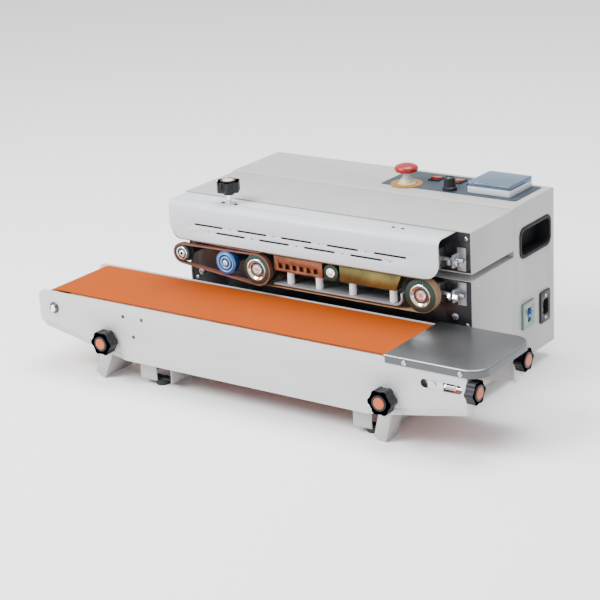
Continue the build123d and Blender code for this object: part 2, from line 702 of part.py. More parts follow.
with BuildPart() as sealing_belts:
    for z in (wheel_z, mirrored(wheel_z)):
        for radius, mode in ((belt_out_r, Mode.ADD), (belt_out_r - seal_belt_t, Mode.SUBTRACT)):
            margin = 0 if mode == Mode.ADD else 1
            with BuildSketch(facing(wheel_step + 1.5 - margin)):
                with Locations(((drive_x + tension_x) / 2, z)):
                    SlotCenterToCenter(tension_x - drive_x, 2 * radius)
            extrude(amount=-(seal_belt_w + 2 * margin), mode=mode)
sealing_belts.part.label = "sealing_belts"
export_step(sealing_belts.part, "parts/sealing_belts.step")

with BuildPart() as guide_belts:
    for side in (1, -1):
        ends = ((pulley_x, pulley_z, pulley_r), (drive_x, wheel_z, guide_step_r))
        for add, mode in ((belt_gap + guide_belt_t, Mode.ADD), (belt_gap, Mode.SUBTRACT)):
            margin = 0 if mode == Mode.ADD else 1
            with BuildSketch(facing(wheel_front + 0.5 - margin)):
                for x, z, radius in ends:
                    with Locations((x, z if side == 1 else mirrored(z))):
                        Circle(radius + add)
                make_hull()
            extrude(amount=-(guide_belt_w + 2 * margin), mode=mode)
guide_belts.part.label = "guide_belts"
export_step(guide_belts.part, "parts/guide_belts.step")

# ==== motor ==============================================================================
pinion_z = wheel_z - gear_module * (gear_teeth + pinion_teeth) / 2
motor_shaft_r = 6.0
gearbox = (64.0, 56.0)
motor_r = 32.0
motor_l = 110.0
motor_y = gear_back + 6.0
with BuildPart() as motor_pinion:
    with BuildSketch(facing(gear_front)):
        gear_teeth_at(drive_x, pinion_z, pinion_teeth, 0.0)
    extrude(amount=-gear_w)
    turned(drive_x, pinion_z, [(gear_back, motor_y + 20, motor_shaft_r)])
motor_pinion.part.label = "motor_pinion"
export_step(motor_pinion.part, "parts/motor_pinion.step")

with BuildPart() as gear_motor:
    box_x = (drive_x - gearbox[0] / 2, drive_x + gearbox[0] / 2)
    box_z = (pinion_z - gearbox[1] / 2, pinion_z + gearbox[1] / 2)
    block(box_x, (motor_y, motor_y + 60), box_z)
    fillet(gear_motor.edges().filter_by(Axis.Y), 6)
    crosswise(motor_y + 30, pinion_z - 24, [(box_x[1] - 5, box_x[1] + motor_l, motor_r)])
    block((box_x[0], box_x[1]), (motor_y + 8, motor_y + 52), (body_bottom + base_t, box_z[0] + 1))
    bore = [(motor_y - 1, motor_y + 20 + slip, motor_shaft_r + run_fit)]
    turned(drive_x, pinion_z, bore, Mode.SUBTRACT)
gear_motor.part.label = "gear_motor"
export_step(gear_motor.part, "parts/gear_motor.step")

# ==== controls ===========================================================================
bezel_h = 1.5
with BuildPart() as control_panel:
    block(panel_x, panel_y, (box_top, panel_top))
    fillet(control_panel.edges().filter_by(Axis.Z), 4)
    for x in rocker_xs:
        rim = (rocker_cut[0] / 2 + 2.2, rocker_cut[1] / 2 + 2.2)
        block((x - rim[0], x + rim[0]), (rocker_y - rim[1], rocker_y + rim[1]), (panel_top, panel_top + bezel_h))
    panel_openings(box_top - 1, panel_top + bezel_h + 1)
control_panel.part.label = "control_panel"
export_step(control_panel.part, "parts/control_panel.step")

estop_stem_r = 6.5
estop_head_r = 20.0
estop_top = 327.0
estop_head_h = 15.0
estop_neck = 301.0
estop_travel = 4.0
with BuildPart() as estop_base:
    x, y = estop_at
    upright(x, y, [(box_top - 40, panel_top, estop_hole - 0.2)])
    upright(x, y, [(panel_top, panel_top + 1, 27), (panel_top + 1, estop_neck, 10.5)])
    bore_low = estop_neck - 8 - estop_travel
    upright(x, y, [(bore_low, estop_neck + 1, estop_stem_r + run_fit)], Mode.SUBTRACT)
estop_base.part.label = "estop_base"
export_step(estop_base.part, "parts/estop_base.step")

with BuildPart() as estop_button:
    head_low = estop_top - estop_head_h
    upright(x, y, [(estop_neck - 7, head_low + 1, estop_stem_r)])
    with BuildSketch(Plane.XY.offset(head_low)):
        with Locations((x, y)):
            Circle(estop_head_r)
    extrude(amount=estop_head_h)
    fillet(estop_button.edges().group_by(Axis.Z)[-1], 6)
    fillet(estop_button.edges().filter_by(GeomType.CIRCLE).filter_by(lambda e: e.radius > 19.9).group_by(Axis.Z)[0], 2)
estop_button.part.label = "estop_button"
export_step(estop_button.part, "parts/estop_button.step")

rocker_names = ("red_rocker", "orange_rocker", "blue_rocker")
rocker_pivot = panel_top - 1.0
rocker_tilt = 9.0
for rocker_name, x in zip(rocker_names, rocker_xs):
    with BuildPart() as rocker:
        half_y = rocker_size[1] / 2
        rise = half_y * tan(radians(rocker_tilt))
        with BuildSketch(sideways(x - rocker_size[0] / 2)):
            with BuildLine():
                Polyline(
                    (rocker_y - half_y, rocker_pivot - 2),
                    (rocker_y - half_y, rocker_pivot + 4 + 2 * rise),
                    (rocker_y, rocker_pivot + 4 + rise * 0.4),
                    (rocker_y + half_y, rocker_pivot + 4 - rise * 0.3),
                    (rocker_y + half_y, rocker_pivot - 2),
                    (rocker_y, rocker_pivot - 5),
                    close=True,
                )
            make_face()
        extrude(amount=rocker_size[0])
    rocker.part.label = rocker_name
    export_step(rocker.part, f"parts/{rocker_name}.step")

speed_r = 11.0
speed_top = 313.0
with BuildPart() as speed_knob:
    x, y = speed_at
    upright(x, y, [(box_top - 20, speed_top - 2, 3.0)])
    upright(x, y, [(panel_top + slip, panel_top + 6, speed_r + 2), (panel_top + 6, speed_top, speed_r)])
    fillet(speed_knob.edges().group_by(Axis.Z)[-1], 1.5)
speed_knob.part.label = "speed_knob"
export_step(speed_knob.part, "parts/speed_knob.step")

body_h = 11.0
lid_h = 7.0
with BuildPart() as temperature_controller:
    block(controller_x, controller_y, (panel_top, panel_top + body_h))
    fillet(temperature_controller.edges().filter_by(Axis.Z), 4)
    mid_x = (controller_x[0] + controller_x[1]) / 2
    mid_y = (controller_y[0] + controller_y[1]) / 2
    block((mid_x - 29.5, mid_x + 29.5), (mid_y - 29.5, mid_y + 29.5), (box_top - 55, panel_top + 1))
temperature_controller.part.label = "temperature_controller"
export_step(temperature_controller.part, "parts/temperature_controller.step")

lid_wall = 2.0
lid_z = panel_top + body_h + slip
with BuildPart() as controller_cover:
    block(controller_x, controller_y, (lid_z, lid_z + lid_h))
    fillet(controller_cover.edges().filter_by(Axis.Z), 4)
    fillet(controller_cover.edges().group_by(Axis.Z)[-1], 2.5)
    inner_x = (controller_x[0] + lid_wall, controller_x[1] - lid_wall)
    inner_y = (controller_y[0] + lid_wall, controller_y[1] - lid_wall)
    block(inner_x, inner_y, (lid_z - 1, lid_z + lid_h - lid_wall), Mode.SUBTRACT)
controller_cover.part.label = "controller_cover"
export_step(controller_cover.part, "parts/controller_cover.step")

with BuildPart() as power_inlet:
    rim = (inlet_size[0] + 6, inlet_size[1] + 6)
    with BuildSketch(sideways(body_right)):
        with Locations((inlet_y, inlet_z)):
            RectangleRounded(*rim, 3)
    extrude(amount=3)
    with BuildSketch(sideways(body_right)):
        with Locations((inlet_y, inlet_z)):
            Rectangle(inlet_size[0] - 0.4, inlet_size[1] - 0.4)
    extrude(amount=-24)
    with BuildSketch(sideways(body_right + 4)):
        with Locations((inlet_y, inlet_z)):
            RectangleRounded(18, 26, 4)
    extrude(amount=-20, mode=Mode.SUBTRACT)
    for dy, dz in ((0, 6.5), (0, -6.5), (-4.5, 0)):
        block((body_right - 18, body_right - 1), (inlet_y + dy - 1, inlet_y + dy + 1), (inlet_z + dz - 2, inlet_z + dz + 2))
power_inlet.part.label = "power_inlet"
export_step(power_inlet.part, "parts/power_inlet.step")

toggle_r = 8.0
toggle_w = 9.0
toggle_x = body_right - 3.0
with BuildPart() as breaker_body:
    block(
        (body_right - 50, body_right + 4),
        (breaker_y - breaker_size[0] / 2 + 0.2, breaker_y + breaker_size[0] / 2 - 0.2),
        (breaker_z - breaker_size[1] / 2 + 0.2, breaker_z + breaker_size[1] / 2 - 0.2),
    )
    fillet(breaker_body.edges().group_by(Axis.X)[-1], 1.0)
    slot_y = (breaker_y - toggle_w / 2 - 0.5, breaker_y + toggle_w / 2 + 0.5)
    block((body_right - 14, body_right + 5), slot_y, (breaker_z - 12, breaker_z + 12), Mode.SUBTRACT)
breaker_body.part.label = "breaker_body"
export_step(breaker_body.part, "parts/breaker_body.step")

with BuildPart() as breaker_toggle:
    with Locations(Location((toggle_x, breaker_y, breaker_z), (90, 0, 0))):
        Cylinder(toggle_r, toggle_w)
    block((toggle_x, body_right + 9), (breaker_y - 4, breaker_y + 4), (breaker_z + 2, breaker_z + 7))
breaker_toggle.part.label = "breaker_toggle"
export_step(breaker_toggle.part, "parts/breaker_toggle.step")

# ==== conveyor ===========================================================================
left_bottom = 81.0
right_bottom = 73.0
low_edge = arm_top
nose_r = 15.0
plate_shape = (
    (plate_left, conveyor_top),
    (plate_right, conveyor_top),
    (plate_right, right_bottom),
    (plate_right - 53.0, 63.0),
    (plate_right - 120.0, 51.0),
    (plate_right - 176.0, low_edge),
    (plate_left + 185.0, low_edge),
    (plate_left, left_bottom),
)
left_knob = (plate_left + left_knob_inset, 74.0)
right_knob = (plate_right - right_knob_inset, 75.0)
tail_travel = 5.0
tail_slot = (tail_x - tail_travel - 16.0, tail_x + 50.0)
slot_h = 14.0
bolt_r = 4.0
end_flange = 16.0
tension_offset = 3.3  # tension screws inside the side plates
end_block_y = 6.4
knob_axis_y = (inner_front + tension_offset, inner_back - tension_offset)
with BuildPart() as conveyor_side_plates:
    for face, inward in ((conveyor_front, 1), (conveyor_back, -1)):
        with BuildSketch(facing(face)):
            with BuildLine():
                Polyline(*plate_shape, close=True)
            make_face()
        extrude(amount=-inward * plate_t)
        flange_y = sorted((face, face + inward * end_flange))
        block((plate_right - plate_t, plate_right), flange_y, (right_bottom, conveyor_top - 6))
        lip_y = sorted((face, face + inward * 12.0))
        block((plate_left + 185.0, plate_right - 176.0), lip_y, (low_edge, low_edge + plate_t))
    noses = conveyor_side_plates.edges().filter_by(Axis.Y).group_by(Axis.X)[0]
    fillet(noses, nose_r)
    with BuildSketch(facing(conveyor_front - 1)):
        with Locations(((tail_slot[0] + tail_slot[1]) / 2, roller_z)):
            SlotOverall(tail_slot[1] - tail_slot[0], slot_h)
        with Locations((left_roller_x, roller_z)):
            Circle(axle_r + run_fit)
        with Locations(left_knob, right_knob):
            Circle(bolt_r + run_fit)
    extrude(amount=-(conveyor_width + 2), mode=Mode.SUBTRACT)
    turned(feed_x, feed_z, [(inner_back - 1, conveyor_back + 1, shaft_r + run_fit)], Mode.SUBTRACT)
    for y in knob_axis_y:
        crosswise(y, roller_z, [(plate_right - plate_t - 1, plate_right + 1, screw_r + run_fit)], Mode.SUBTRACT)
conveyor_side_plates.part.label = "conveyor_side_plates"
export_step(conveyor_side_plates.part, "parts/conveyor_side_plates.step")

bed_top = belt_top - belt_t - slip
bed_t = 2.0
bed_skirt = 18.0
with BuildPart() as slider_bed:
    bed_x = (left_roller_x + roller_r + 6, tail_x - roller_r - tail_travel - 6)
    block(bed_x, (inner_front, inner_back), (bed_top - bed_t, bed_top))
    for y_span in ((inner_front, inner_front + bed_t), (inner_back - bed_t, inner_back)):
        block(bed_x, y_span, (bed_top - bed_skirt, bed_top))
slider_bed.part.label = "slider_bed"
export_step(slider_bed.part, "parts/slider_bed.step")

with BuildPart() as conveyor_belt:
    middle = ((left_roller_x + tail_x) / 2, roller_z)
    for radius, mode in ((roller_r + belt_gap + belt_t, Mode.ADD), (roller_r + belt_gap, Mode.SUBTRACT)):
        margin = 0 if mode == Mode.ADD else 1
        with BuildSketch(facing(belt_front - margin)):
            with Locations(middle):
                SlotCenterToCenter(tail_x - left_roller_x, 2 * radius)
        extrude(amount=-(belt_width + 2 * margin), mode=mode)
conveyor_belt.part.label = "conveyor_belt"
export_step(conveyor_belt.part, "parts/conveyor_belt.step")

with BuildPart() as left_end_roller:
    turned(left_roller_x, roller_z, [(belt_front - 2, belt_back + 2, roller_r)])
    turned(left_roller_x, roller_z, [(inner_front + slip, inner_back - slip, axle_r + 3)])
    turned(left_roller_x, roller_z, [(conveyor_front - 2, conveyor_back + 2, axle_r)])
left_end_roller.part.label = "left_end_roller"
export_step(left_end_roller.part, "parts/left_end_roller.step")

with BuildPart() as tail_axle:
    turned(tail_x, roller_z, [(conveyor_front - 1.5, conveyor_back + 1.5, axle_r)])
    for y_span in ((conveyor_front, inner_front + end_block_y), (inner_back - end_block_y, conveyor_back)):
        block((tail_x - 8, tail_x + 18), y_span, (roller_z - slot_h / 2 + slip, roller_z + slot_h / 2 - slip))
    for y in knob_axis_y:
        crosswise(y, roller_z, [(tail_x + axle_r + 0.5, tail_x + 19, screw_r + run_fit)], Mode.SUBTRACT)
tail_axle.part.label = "tail_axle"
export_step(tail_axle.part, "parts/tail_axle.step")

with BuildPart() as tail_roller:
    roller_y = (inner_front + end_block_y + slip, inner_back - end_block_y - slip)
    turned(tail_x, roller_z, [(roller_y[0], roller_y[1], roller_r)])
    turned(tail_x, roller_z, [(inner_front, inner_back, axle_r + run_fit)], Mode.SUBTRACT)
tail_roller.part.label = "tail_roller"
export_step(tail_roller.part, "parts/tail_roller.step")

with BuildPart() as conveyor_drive_roller:
    turned(feed_x, feed_z, [(belt_front, belt_back, feed_r)])
    turned(feed_x, feed_z, [(belt_back, plate_back + 20, shaft_r)])
    turned(feed_x, feed_z, [(plate_back + 4, plate_back + 14, 20)])
conveyor_drive_roller.part.label = "conveyor_drive_roller"
export_step(conveyor_drive_roller.part, "parts/conveyor_drive_roller.step")

tray_t = 1.5
tray_corner = 28.0
with BuildPart() as end_tray:
    tray_y = (conveyor_front - tray_t - 0.5, conveyor_back + tray_t + 0.5)
    block((tray_left, tray_right), tray_y, (tray_top - tray_skirt, tray_top))
    fillet(end_tray.edges().filter_by(Axis.Z).group_by(Axis.X)[-1], tray_corner)
    fillet(end_tray.edges().group_by(Axis.Z)[-1], 3)
    low_face = end_tray.faces().sort_by(Axis.Z)[:1]
    offset(amount=-tray_t, openings=low_face)
    block((tray_left - 1, tray_left + tray_t + 1), tray_y, (tray_top - tray_skirt - 1, tray_top - 3.5), Mode.SUBTRACT)
end_tray.part.label = "end_tray"
export_step(end_tray.part, "parts/end_tray.step")

knob_start = plate_right + 2.0
knob_thick = 15.0
tension_knobs = (("front_tension_knob", knob_axis_y[0]), ("back_tension_knob", knob_axis_y[1]))
for knob_name, y in tension_knobs:
    with BuildPart() as tension_knob:
        crosswise(y, roller_z, [(tail_x + 7, knob_start + 5, screw_r)])
        crosswise(y, roller_z, [(plate_right + slip, knob_start + 1, 8)])
        with BuildSketch(sideways(knob_start)):
            with Locations((y, roller_z)):
                star(knob_r - 2)
        extrude(amount=knob_thick)
    tension_knob.part.label = knob_name
    export_step(tension_knob.part, f"parts/{knob_name}.step")

leg_t = 2.0
web_depth = 70.0
right_web_depth = 34.0
ear_y = inner_front + slip
legs = (
    ("left_leg", left_knob, web_depth, radians(left_lean)),
    ("right_leg", right_knob, right_web_depth, radians(right_lean)),
)
for leg_name, pivot, depth, lean in legs:
    down = (-sin(lean), -cos(lean))
    across = (cos(lean), -sin(lean))
    reach = (pivot[1] - 0.4 - leg_w / 2 * sin(lean)) / cos(lean)

    def corner(along, side):
        """A point of the leg's outline, along it and to its right."""
        return (
            pivot[0] + down[0] * along + across[0] * side,
            pivot[1] + down[1] * along + across[1] * side,
        )

    with BuildPart() as leg:
        with BuildSketch(facing(ear_y)):
            with Locations(pivot):
                Circle(leg_w / 2)
            outline = [corner(0, -leg_w / 2), corner(reach, -leg_w / 2), corner(reach, leg_w / 2), corner(0, leg_w / 2)]
            Polygon(*outline, align=None)
            with Locations(pivot):
                Circle(bolt_r + run_fit, mode=Mode.SUBTRACT)
        extrude(amount=-leg_t)
        with BuildSketch(facing(ear_y)):
            web = [
                corner(14, leg_w / 2 - leg_t),
                corner(reach, leg_w / 2 - leg_t),
                corner(reach, leg_w / 2),
                corner(14, leg_w / 2),
            ]
            Polygon(*web, align=None)
        extrude(amount=-depth)
    leg.part.label = leg_name
    export_step(leg.part, f"parts/{leg_name}.step")

for knob_name, pivot in (("left_leg_knob", left_knob), ("right_leg_knob", right_knob)):
    with BuildPart() as leg_knob:
        seat = conveyor_front - slip
        bolt_end = ear_y + leg_t + 3.8
        turned(pivot[0], pivot[1], [(seat - 4, seat, 9), (seat - 4, bolt_end, bolt_r)])
        turned(pivot[0], pivot[1], [(ear_y + leg_t + slip, bolt_end, 7.5)])
        with BuildSketch(facing(seat - 4)):
            with Locations(pivot):
                star(knob_r)
        extrude(amount=knob_reach - slip - 6)
        turned(pivot[0], pivot[1], [(conveyor_front - knob_reach, seat - 4, knob_r * 0.5)])
    leg_knob.part.label = knob_name
    export_step(leg_knob.part, f"parts/{knob_name}.step")

# ==== screws =============================================================================
head_r = 3.5
head_h = 2.0
with BuildPart() as housing_screws:
    front_of_plate = [(plate_front - head_h, plate_front, head_r)]
    for x in (body_left + 12.0, body_right - 10.0):
        for z in (throat_bottom - 74.0, head_top - 12.0):
            turned(x, z, front_of_plate)
    for x in (body_left + 22.0, body_right - 32.0):
        turned(x, throat_bottom - 62.0, [(plate_front - 3, plate_front, 6)])
    for x in (body_right - 125.0, body_right - 108.0):
        upright(x, head_front - 22.0, [(cover_top, cover_top + 1.5, 3)])
    for x, drop in ((plate_left + 185.4, 20.6), (plate_left + 205.0, 53.3), (plate_left + 224.6, 20.6)):
        turned(x, conveyor_top - drop, [(conveyor_front - 1.5, conveyor_front, 3)])
    for x in (tray_left + 36.0, tray_right - 34.0):
        turned(x, tray_top - 8.0, [(tray_y[0] - 1.8, tray_y[0], 4)])
    for x in (body_left + 20.0, body_right - 20.0):
        for z in (body_bottom + 24.0, (body_bottom + box_top) / 2, box_top - 24.0):
            turned(x, z, [(back_y[1], back_y[1] + head_h, head_r)])
    for dz in (-19.0, 19.0):
        crosswise(inlet_y, inlet_z + dz, [(body_right + 3, body_right + 4.5, 2.6)])
    for y, z in ((head_front + 20.0, throat_bottom - 12.0), (head_back - 20.0, throat_bottom - 12.0)):
        crosswise(y, z, [(body_right, body_right + 1.5, 3), (body_left - 1.5, body_left, 3)])
housing_screws.part.label = "housing_screws"
export_step(housing_screws.part, "parts/housing_screws.step")
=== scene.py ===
"""Tabletop band sealer: soft edges, turned details, finishes and a studio around its parts."""

import json
import math

import bpy
from mathutils import Matrix, Vector

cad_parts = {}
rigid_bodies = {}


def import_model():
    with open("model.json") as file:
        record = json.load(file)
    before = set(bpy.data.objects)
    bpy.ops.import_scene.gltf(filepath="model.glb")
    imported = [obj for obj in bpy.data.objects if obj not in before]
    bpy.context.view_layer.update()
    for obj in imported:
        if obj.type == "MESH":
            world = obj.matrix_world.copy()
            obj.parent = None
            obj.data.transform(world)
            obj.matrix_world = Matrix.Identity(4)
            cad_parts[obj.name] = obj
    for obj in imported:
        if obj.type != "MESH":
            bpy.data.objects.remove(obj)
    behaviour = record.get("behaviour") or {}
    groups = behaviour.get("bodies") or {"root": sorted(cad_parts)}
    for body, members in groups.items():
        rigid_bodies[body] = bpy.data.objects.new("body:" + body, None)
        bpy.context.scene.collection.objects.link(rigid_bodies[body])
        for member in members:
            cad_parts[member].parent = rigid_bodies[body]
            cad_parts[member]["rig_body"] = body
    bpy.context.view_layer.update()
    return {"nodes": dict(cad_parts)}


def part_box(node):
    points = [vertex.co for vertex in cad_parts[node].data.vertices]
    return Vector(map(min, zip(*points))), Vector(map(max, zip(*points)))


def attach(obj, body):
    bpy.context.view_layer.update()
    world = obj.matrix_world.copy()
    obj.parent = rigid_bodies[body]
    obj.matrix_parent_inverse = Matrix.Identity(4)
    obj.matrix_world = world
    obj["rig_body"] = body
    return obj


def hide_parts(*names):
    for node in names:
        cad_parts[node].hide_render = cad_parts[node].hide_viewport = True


bl_info = {
    "name": "Band Sealer Looks",
    "version": (1, 0, 0),
    "blender": (4, 5, 0),
    "location": "View3D > Sidebar > Sealer",
    "description": "Builds the visible pieces and finishes of a tabletop band sealer",
    "category": "Object",
}

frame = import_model()
NODES = frame["nodes"]
MM = 0.001
finishes = {}

# Places in millimetres, in the machine's own frame.
DRIVE_X, TENSION_X, PRESS_X, EMBOSS_X, PULLEY_X = -64.4, 241.7, 76.2, -127.4, -219.4
THROAT_Z = 215.0
WHEEL_Z, PULLEY_Z, EMBOSS_Z, PRESS_Z = 187.0, 193.5, 190.0, 200.2
WHEEL_FRONT, WHEEL_STEP = -79.0, -69.5
POST_XS, POST_Y = (-8.4, 47.6, 111.8, 187.7), -60.5
SHELF_TOP, BLOCK_LOW = 166.85, 188.0
PANEL_TOP = 292.0
PLATE_FRONT, ROLLER_Z, END_ROLLER_X, TAIL_X = -212.0, 110.75, -395.5, 347.0
SPRING_YS = (-206.7, -59.3)
CARRIER_NUT_Y = -50.5
VENT_LOW, VENT_HIGH = 232.0, 259.0

# Degrees that part soft edges and smooth faces from hard ones.
BEVEL_ANGLE, SMOOTH_ANGLE, ROUND_ANGLE, FLAT_ANGLE = 32, 38, 30, 0.5
MERGE_GAP = 2e-6
BRACKET_EDGE = 0.5
# Tray faces that slope less upward than this get the darker skirt steel, a painted shade on the
# tray's sides.
TRAY_SHADE_SLOPE = 0.45

# (x, z) corners of the folded hems along the lower edges of the front plate.
HEM_CORNERS = (
    ((-418, 76.8), (-252, 43.8), (-252, 53.0), (-418, 86.0)),
    (
        (232, 43.6), (285, 52.2), (352, 64.2), (388, 70.8),
        (388, 79.8), (352, 73.2), (285, 61.2), (232, 52.6),
    ),
)

# (distance, radius) steps of the turned pieces.
HUB_CUP = (
    (-2.95, 15.7), (0.02, 15.7), (0.02, 18.3), (0.7, 18.3), (1.0, 17.8), (1.0, 16.6),
    (-0.6, 15.2), (-1.9, 13.4), (-2.1, 8.8), (-0.4, 7.8), (1.0, 7.0), (1.0, 4.2),
    (0.4, 3.6), (-0.6, 3.2), (-0.6, 0.2),
)
HUB_SEAL = ((-2.6, 12.9), (-1.6, 12.9), (-1.3, 12.5), (-1.3, 10.0), (-1.6, 9.4), (-2.6, 9.4))
PULLEY_HUB = (
    (-1.0, 11.2), (0.4, 11.2), (0.9, 10.7), (0.9, 9.4), (-0.4, 8.8), (-0.5, 6.2),
    (0.7, 5.6), (1.2, 5.0), (1.2, 2.6), (0.0, 2.3), (0.0, 0.2),
)
ROLLER_HUB = (
    (-1.0, 8.0), (0.6, 8.0), (1.2, 7.4), (1.2, 5.6), (0.2, 5.0), (0.2, 3.6),
    (1.6, 3.2), (2.2, 2.4), (2.3, 0.2),
)
EMBOSS_RINGS = ((16.4, 14.2), (10.6, 8.0))
EMBOSS_NUT = ((-2.9, 5.4), (0.8, 5.4), (1.4, 4.6), (1.4, 0.2))
STOP_DISC = ((0.05, 26.9), (0.7, 26.9), (1.0, 26.5), (1.0, 15.9), (0.05, 15.9))
STOP_COLLAR = (
    (-20, 10.8), (0.3, 10.8), (0.3, 15.8), (1.6, 15.3), (2.6, 12.4), (5.5, 10.6),
    (8.4, 9.9), (8.9, 9.4), (8.9, 6.8), (-12, 6.8), (-12, 0.2),
)
STOP_HEAD_TALL = 15.0
STOP_HEAD = (
    (0.3, 8.4), (0, 9.0), (0.2, 14.0), (1.6, 17.8), (4.0, 19.6), (6.6, 19.95),
    (8.6, 19.5), (10.4, 17.8), (12.0, 14.6), (13.6, 10.0), (14.7, 5.0),
)
DIAL = (
    (0.4, 13.0), (4.6, 12.6), (6.0, 10.8), (20.0, 9.6), (21.0, 8.6), (21.0, 7.4),
    (20.3, 7.0), (20.3, 0.2),
)
DIAL_SIDES, RIB_STEP, GROOVE_RATIO = 72, 4, 0.93
DIAL_GRIP_LOW, DIAL_FACE_R = 5, 8
PAN_TOP = 0.54
PAN_HEAD = ((-0.6, 1.0), (0.0, 1.0), (0.25, 0.97), (0.42, 0.80), (0.52, 0.45), (PAN_TOP, 0.02))
# The cross recess in a pan head of radius 1, as the corners of two blocks.
PAN_RECESS = (
    ((-0.52, -0.10, 0.18), (0.52, 0.10, 1.0)),
    ((-0.10, -0.52, 0.18), (0.10, 0.52, 1.0)),
)
ROD_SCREW_OFFSET, ROD_SCREW_R, ROD_SCREW_TALL = 13.0, 3.4, 1.6
END_WASHER = ((0.05, 9.6), (1.1, 9.6), (1.5, 9.1), (1.5, 6.3), (0.05, 6.3))
END_STUB = ((1.9, 5.9), (5.4, 5.9), (6.0, 5.3), (6.0, 0.2))
STUB_FLAT = 2.6
SPRING_TURNS, SPRING_START, SPRING_PITCH = 6, 4.4, 2.4
TAIL_NUT = ((0, 4.6), (0.4, 5.1), (3.6, 5.1), (4.0, 4.6))
CARRIER_NUTS = ((290.2, 4.6), (295.2, 3.0), (281.6, 4.2))

# Frames round the rockers, in metres.
ROCKER_FRAME, FRAME_WIDTH, FRAME_TALL = (0.0204, 0.0268, 1), 0.0026, 0.0022
# The controller's four keys in mm: the first one's place, their spacing and width.
KEY_COUNT, KEY_START, KEY_PITCH, KEY_WIDTH = 4, 15, 13.2, 10

# Hand knobs: axis, the cap's finish and how far its seat lies below the tip.
KNOBS = {
    "left_leg_knob": ("-Y", "orange_moulding", 2.0),
    "right_leg_knob": ("-Y", "orange_moulding", 2.0),
    "front_tension_knob": ("X", "orange_moulding", 0.02),
    "back_tension_knob": ("X", "orange_moulding", 0.02),
    "pressure_knob": ("Z", "cream_moulding", 4.0),
}
KNOB_ROD = 4.4

# Lights: place and size in metres, power in watts.
LIGHTS = {
    "key_light": ((-1.4, -2.2, 2.6), 1.8, 215.0),
    "top_light": ((0.3, 0.4, 2.8), 1.6, 88.0),
    "right_light": ((2.6, -1.0, 1.6), 1.4, 3.0),
}
LIGHT_AIM = (0, 0, 0.15)
FLOOR_COLOUR, FLOOR_ROUGH = (0.97, 0.97, 0.97, 1), 0.9
SKY_COLOUR, SKY_STRENGTH = (0.95, 0.97, 1.0, 1), 1.12
CAMERA_PLACE = (1.6238, -2.2942, 1.1009)
CAMERA_FORWARD = (-0.5538, 0.7650, -0.3289)
CAMERA_RIGHT = (0.8190, 0.5716, -0.0494)
CAMERA_LENS, CAMERA_SENSOR = 107.87, 36.0

# Shared effects, in metres where they are lengths.
GRAIN_DEPTH, WEAR_RADIUS = 0.0002, 0.0012
DUST_COLOUR, DUST_DULLS = (0.50, 0.48, 0.44, 1), 0.6
BROAD_SCALE, PATCH_SCALE, DUST_SCALE = 14.0, 45.0, 9.0


def centre_of(name):
    """The middle of a CAD node's box in mm."""
    low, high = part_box(name)
    return (low + high) / 2 / MM


# ---- small tools ------------------------------------------------------------------------
def only(obj):
    """Leave obj the one selected and active object."""
    bpy.ops.object.select_all(action="DESELECT")
    obj.select_set(True)
    bpy.context.view_layer.objects.active = obj


def editing(obj):
    """Open obj's mesh for editing with everything selected."""
    only(obj)
    bpy.ops.object.mode_set(mode="EDIT")
    bpy.ops.mesh.select_all(action="SELECT")


def faces_out():
    """Turn the faces of the mesh being edited outwards and leave edit mode."""
    bpy.ops.mesh.select_all(action="SELECT")
    bpy.ops.mesh.normals_make_consistent(inside=False)
    bpy.ops.object.mode_set(mode="OBJECT")


def modifier(obj, kind, **values):
    """Add a modifier, set it and apply it."""
    only(obj)
    added = obj.modifiers.new(kind.title(), kind)
    for key, value in values.items():
        setattr(added, key, value)
    bpy.ops.object.modifier_apply(modifier=added.name)


def bevelled(obj, width, segments=2, angle=BEVEL_ANGLE):
    """Round obj's edges that are sharper than angle, by width in mm."""
    modifier(
        obj, "BEVEL", width=width * MM, segments=segments, limit_method="ANGLE",
        angle_limit=math.radians(angle), use_clamp_overlap=True, miter_outer="MITER_ARC",
    )


def finished(obj, name, finish, body, replaced=(), smooth=SMOOTH_ANGLE):
    """Put obj's place into its mesh, smooth it, give it its finish and its body."""
    only(obj)
    bpy.ops.object.transform_apply(location=True, rotation=True, scale=True)
    bpy.ops.object.shade_smooth_by_angle(angle=math.radians(smooth))
    obj.name = obj.data.name = name
    obj.data.materials.clear()
    obj.data.materials.append(finishes[finish])
    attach(obj, body)
    if replaced:
        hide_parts(*replaced)
    return obj


def merged_copy(name, clean=True):
    """A separate copy of a CAD node with its loose triangles merged into clean faces."""
    obj = bpy.data.objects.new(name + "_shape", NODES[name].data.copy())
    bpy.context.scene.collection.objects.link(obj)
    only(obj)
    if obj.data.has_custom_normals:
        bpy.ops.mesh.customdata_custom_splitnormals_clear()
    editing(obj)
    bpy.ops.mesh.remove_doubles(threshold=MERGE_GAP)
    if clean:
        bpy.ops.mesh.dissolve_limited(angle_limit=math.radians(FLAT_ANGLE))
    bpy.ops.object.mode_set(mode="OBJECT")
    return obj


def soft_edged(name, finish, width):
    """Stand a soft-edged copy in for a CAD node."""
    obj = merged_copy(name)
    bevelled(obj, width)
    finished(obj, name + "_soft", finish, NODES[name]["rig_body"], (name,))


AXES = {
    "X": (Vector((1, 0, 0)), (0, math.pi / 2, 0)),
    "-Y": (Vector((0, -1, 0)), (math.pi / 2, 0, 0)),
    "Z": (Vector((0, 0, 1)), (0, 0, 0)),
}


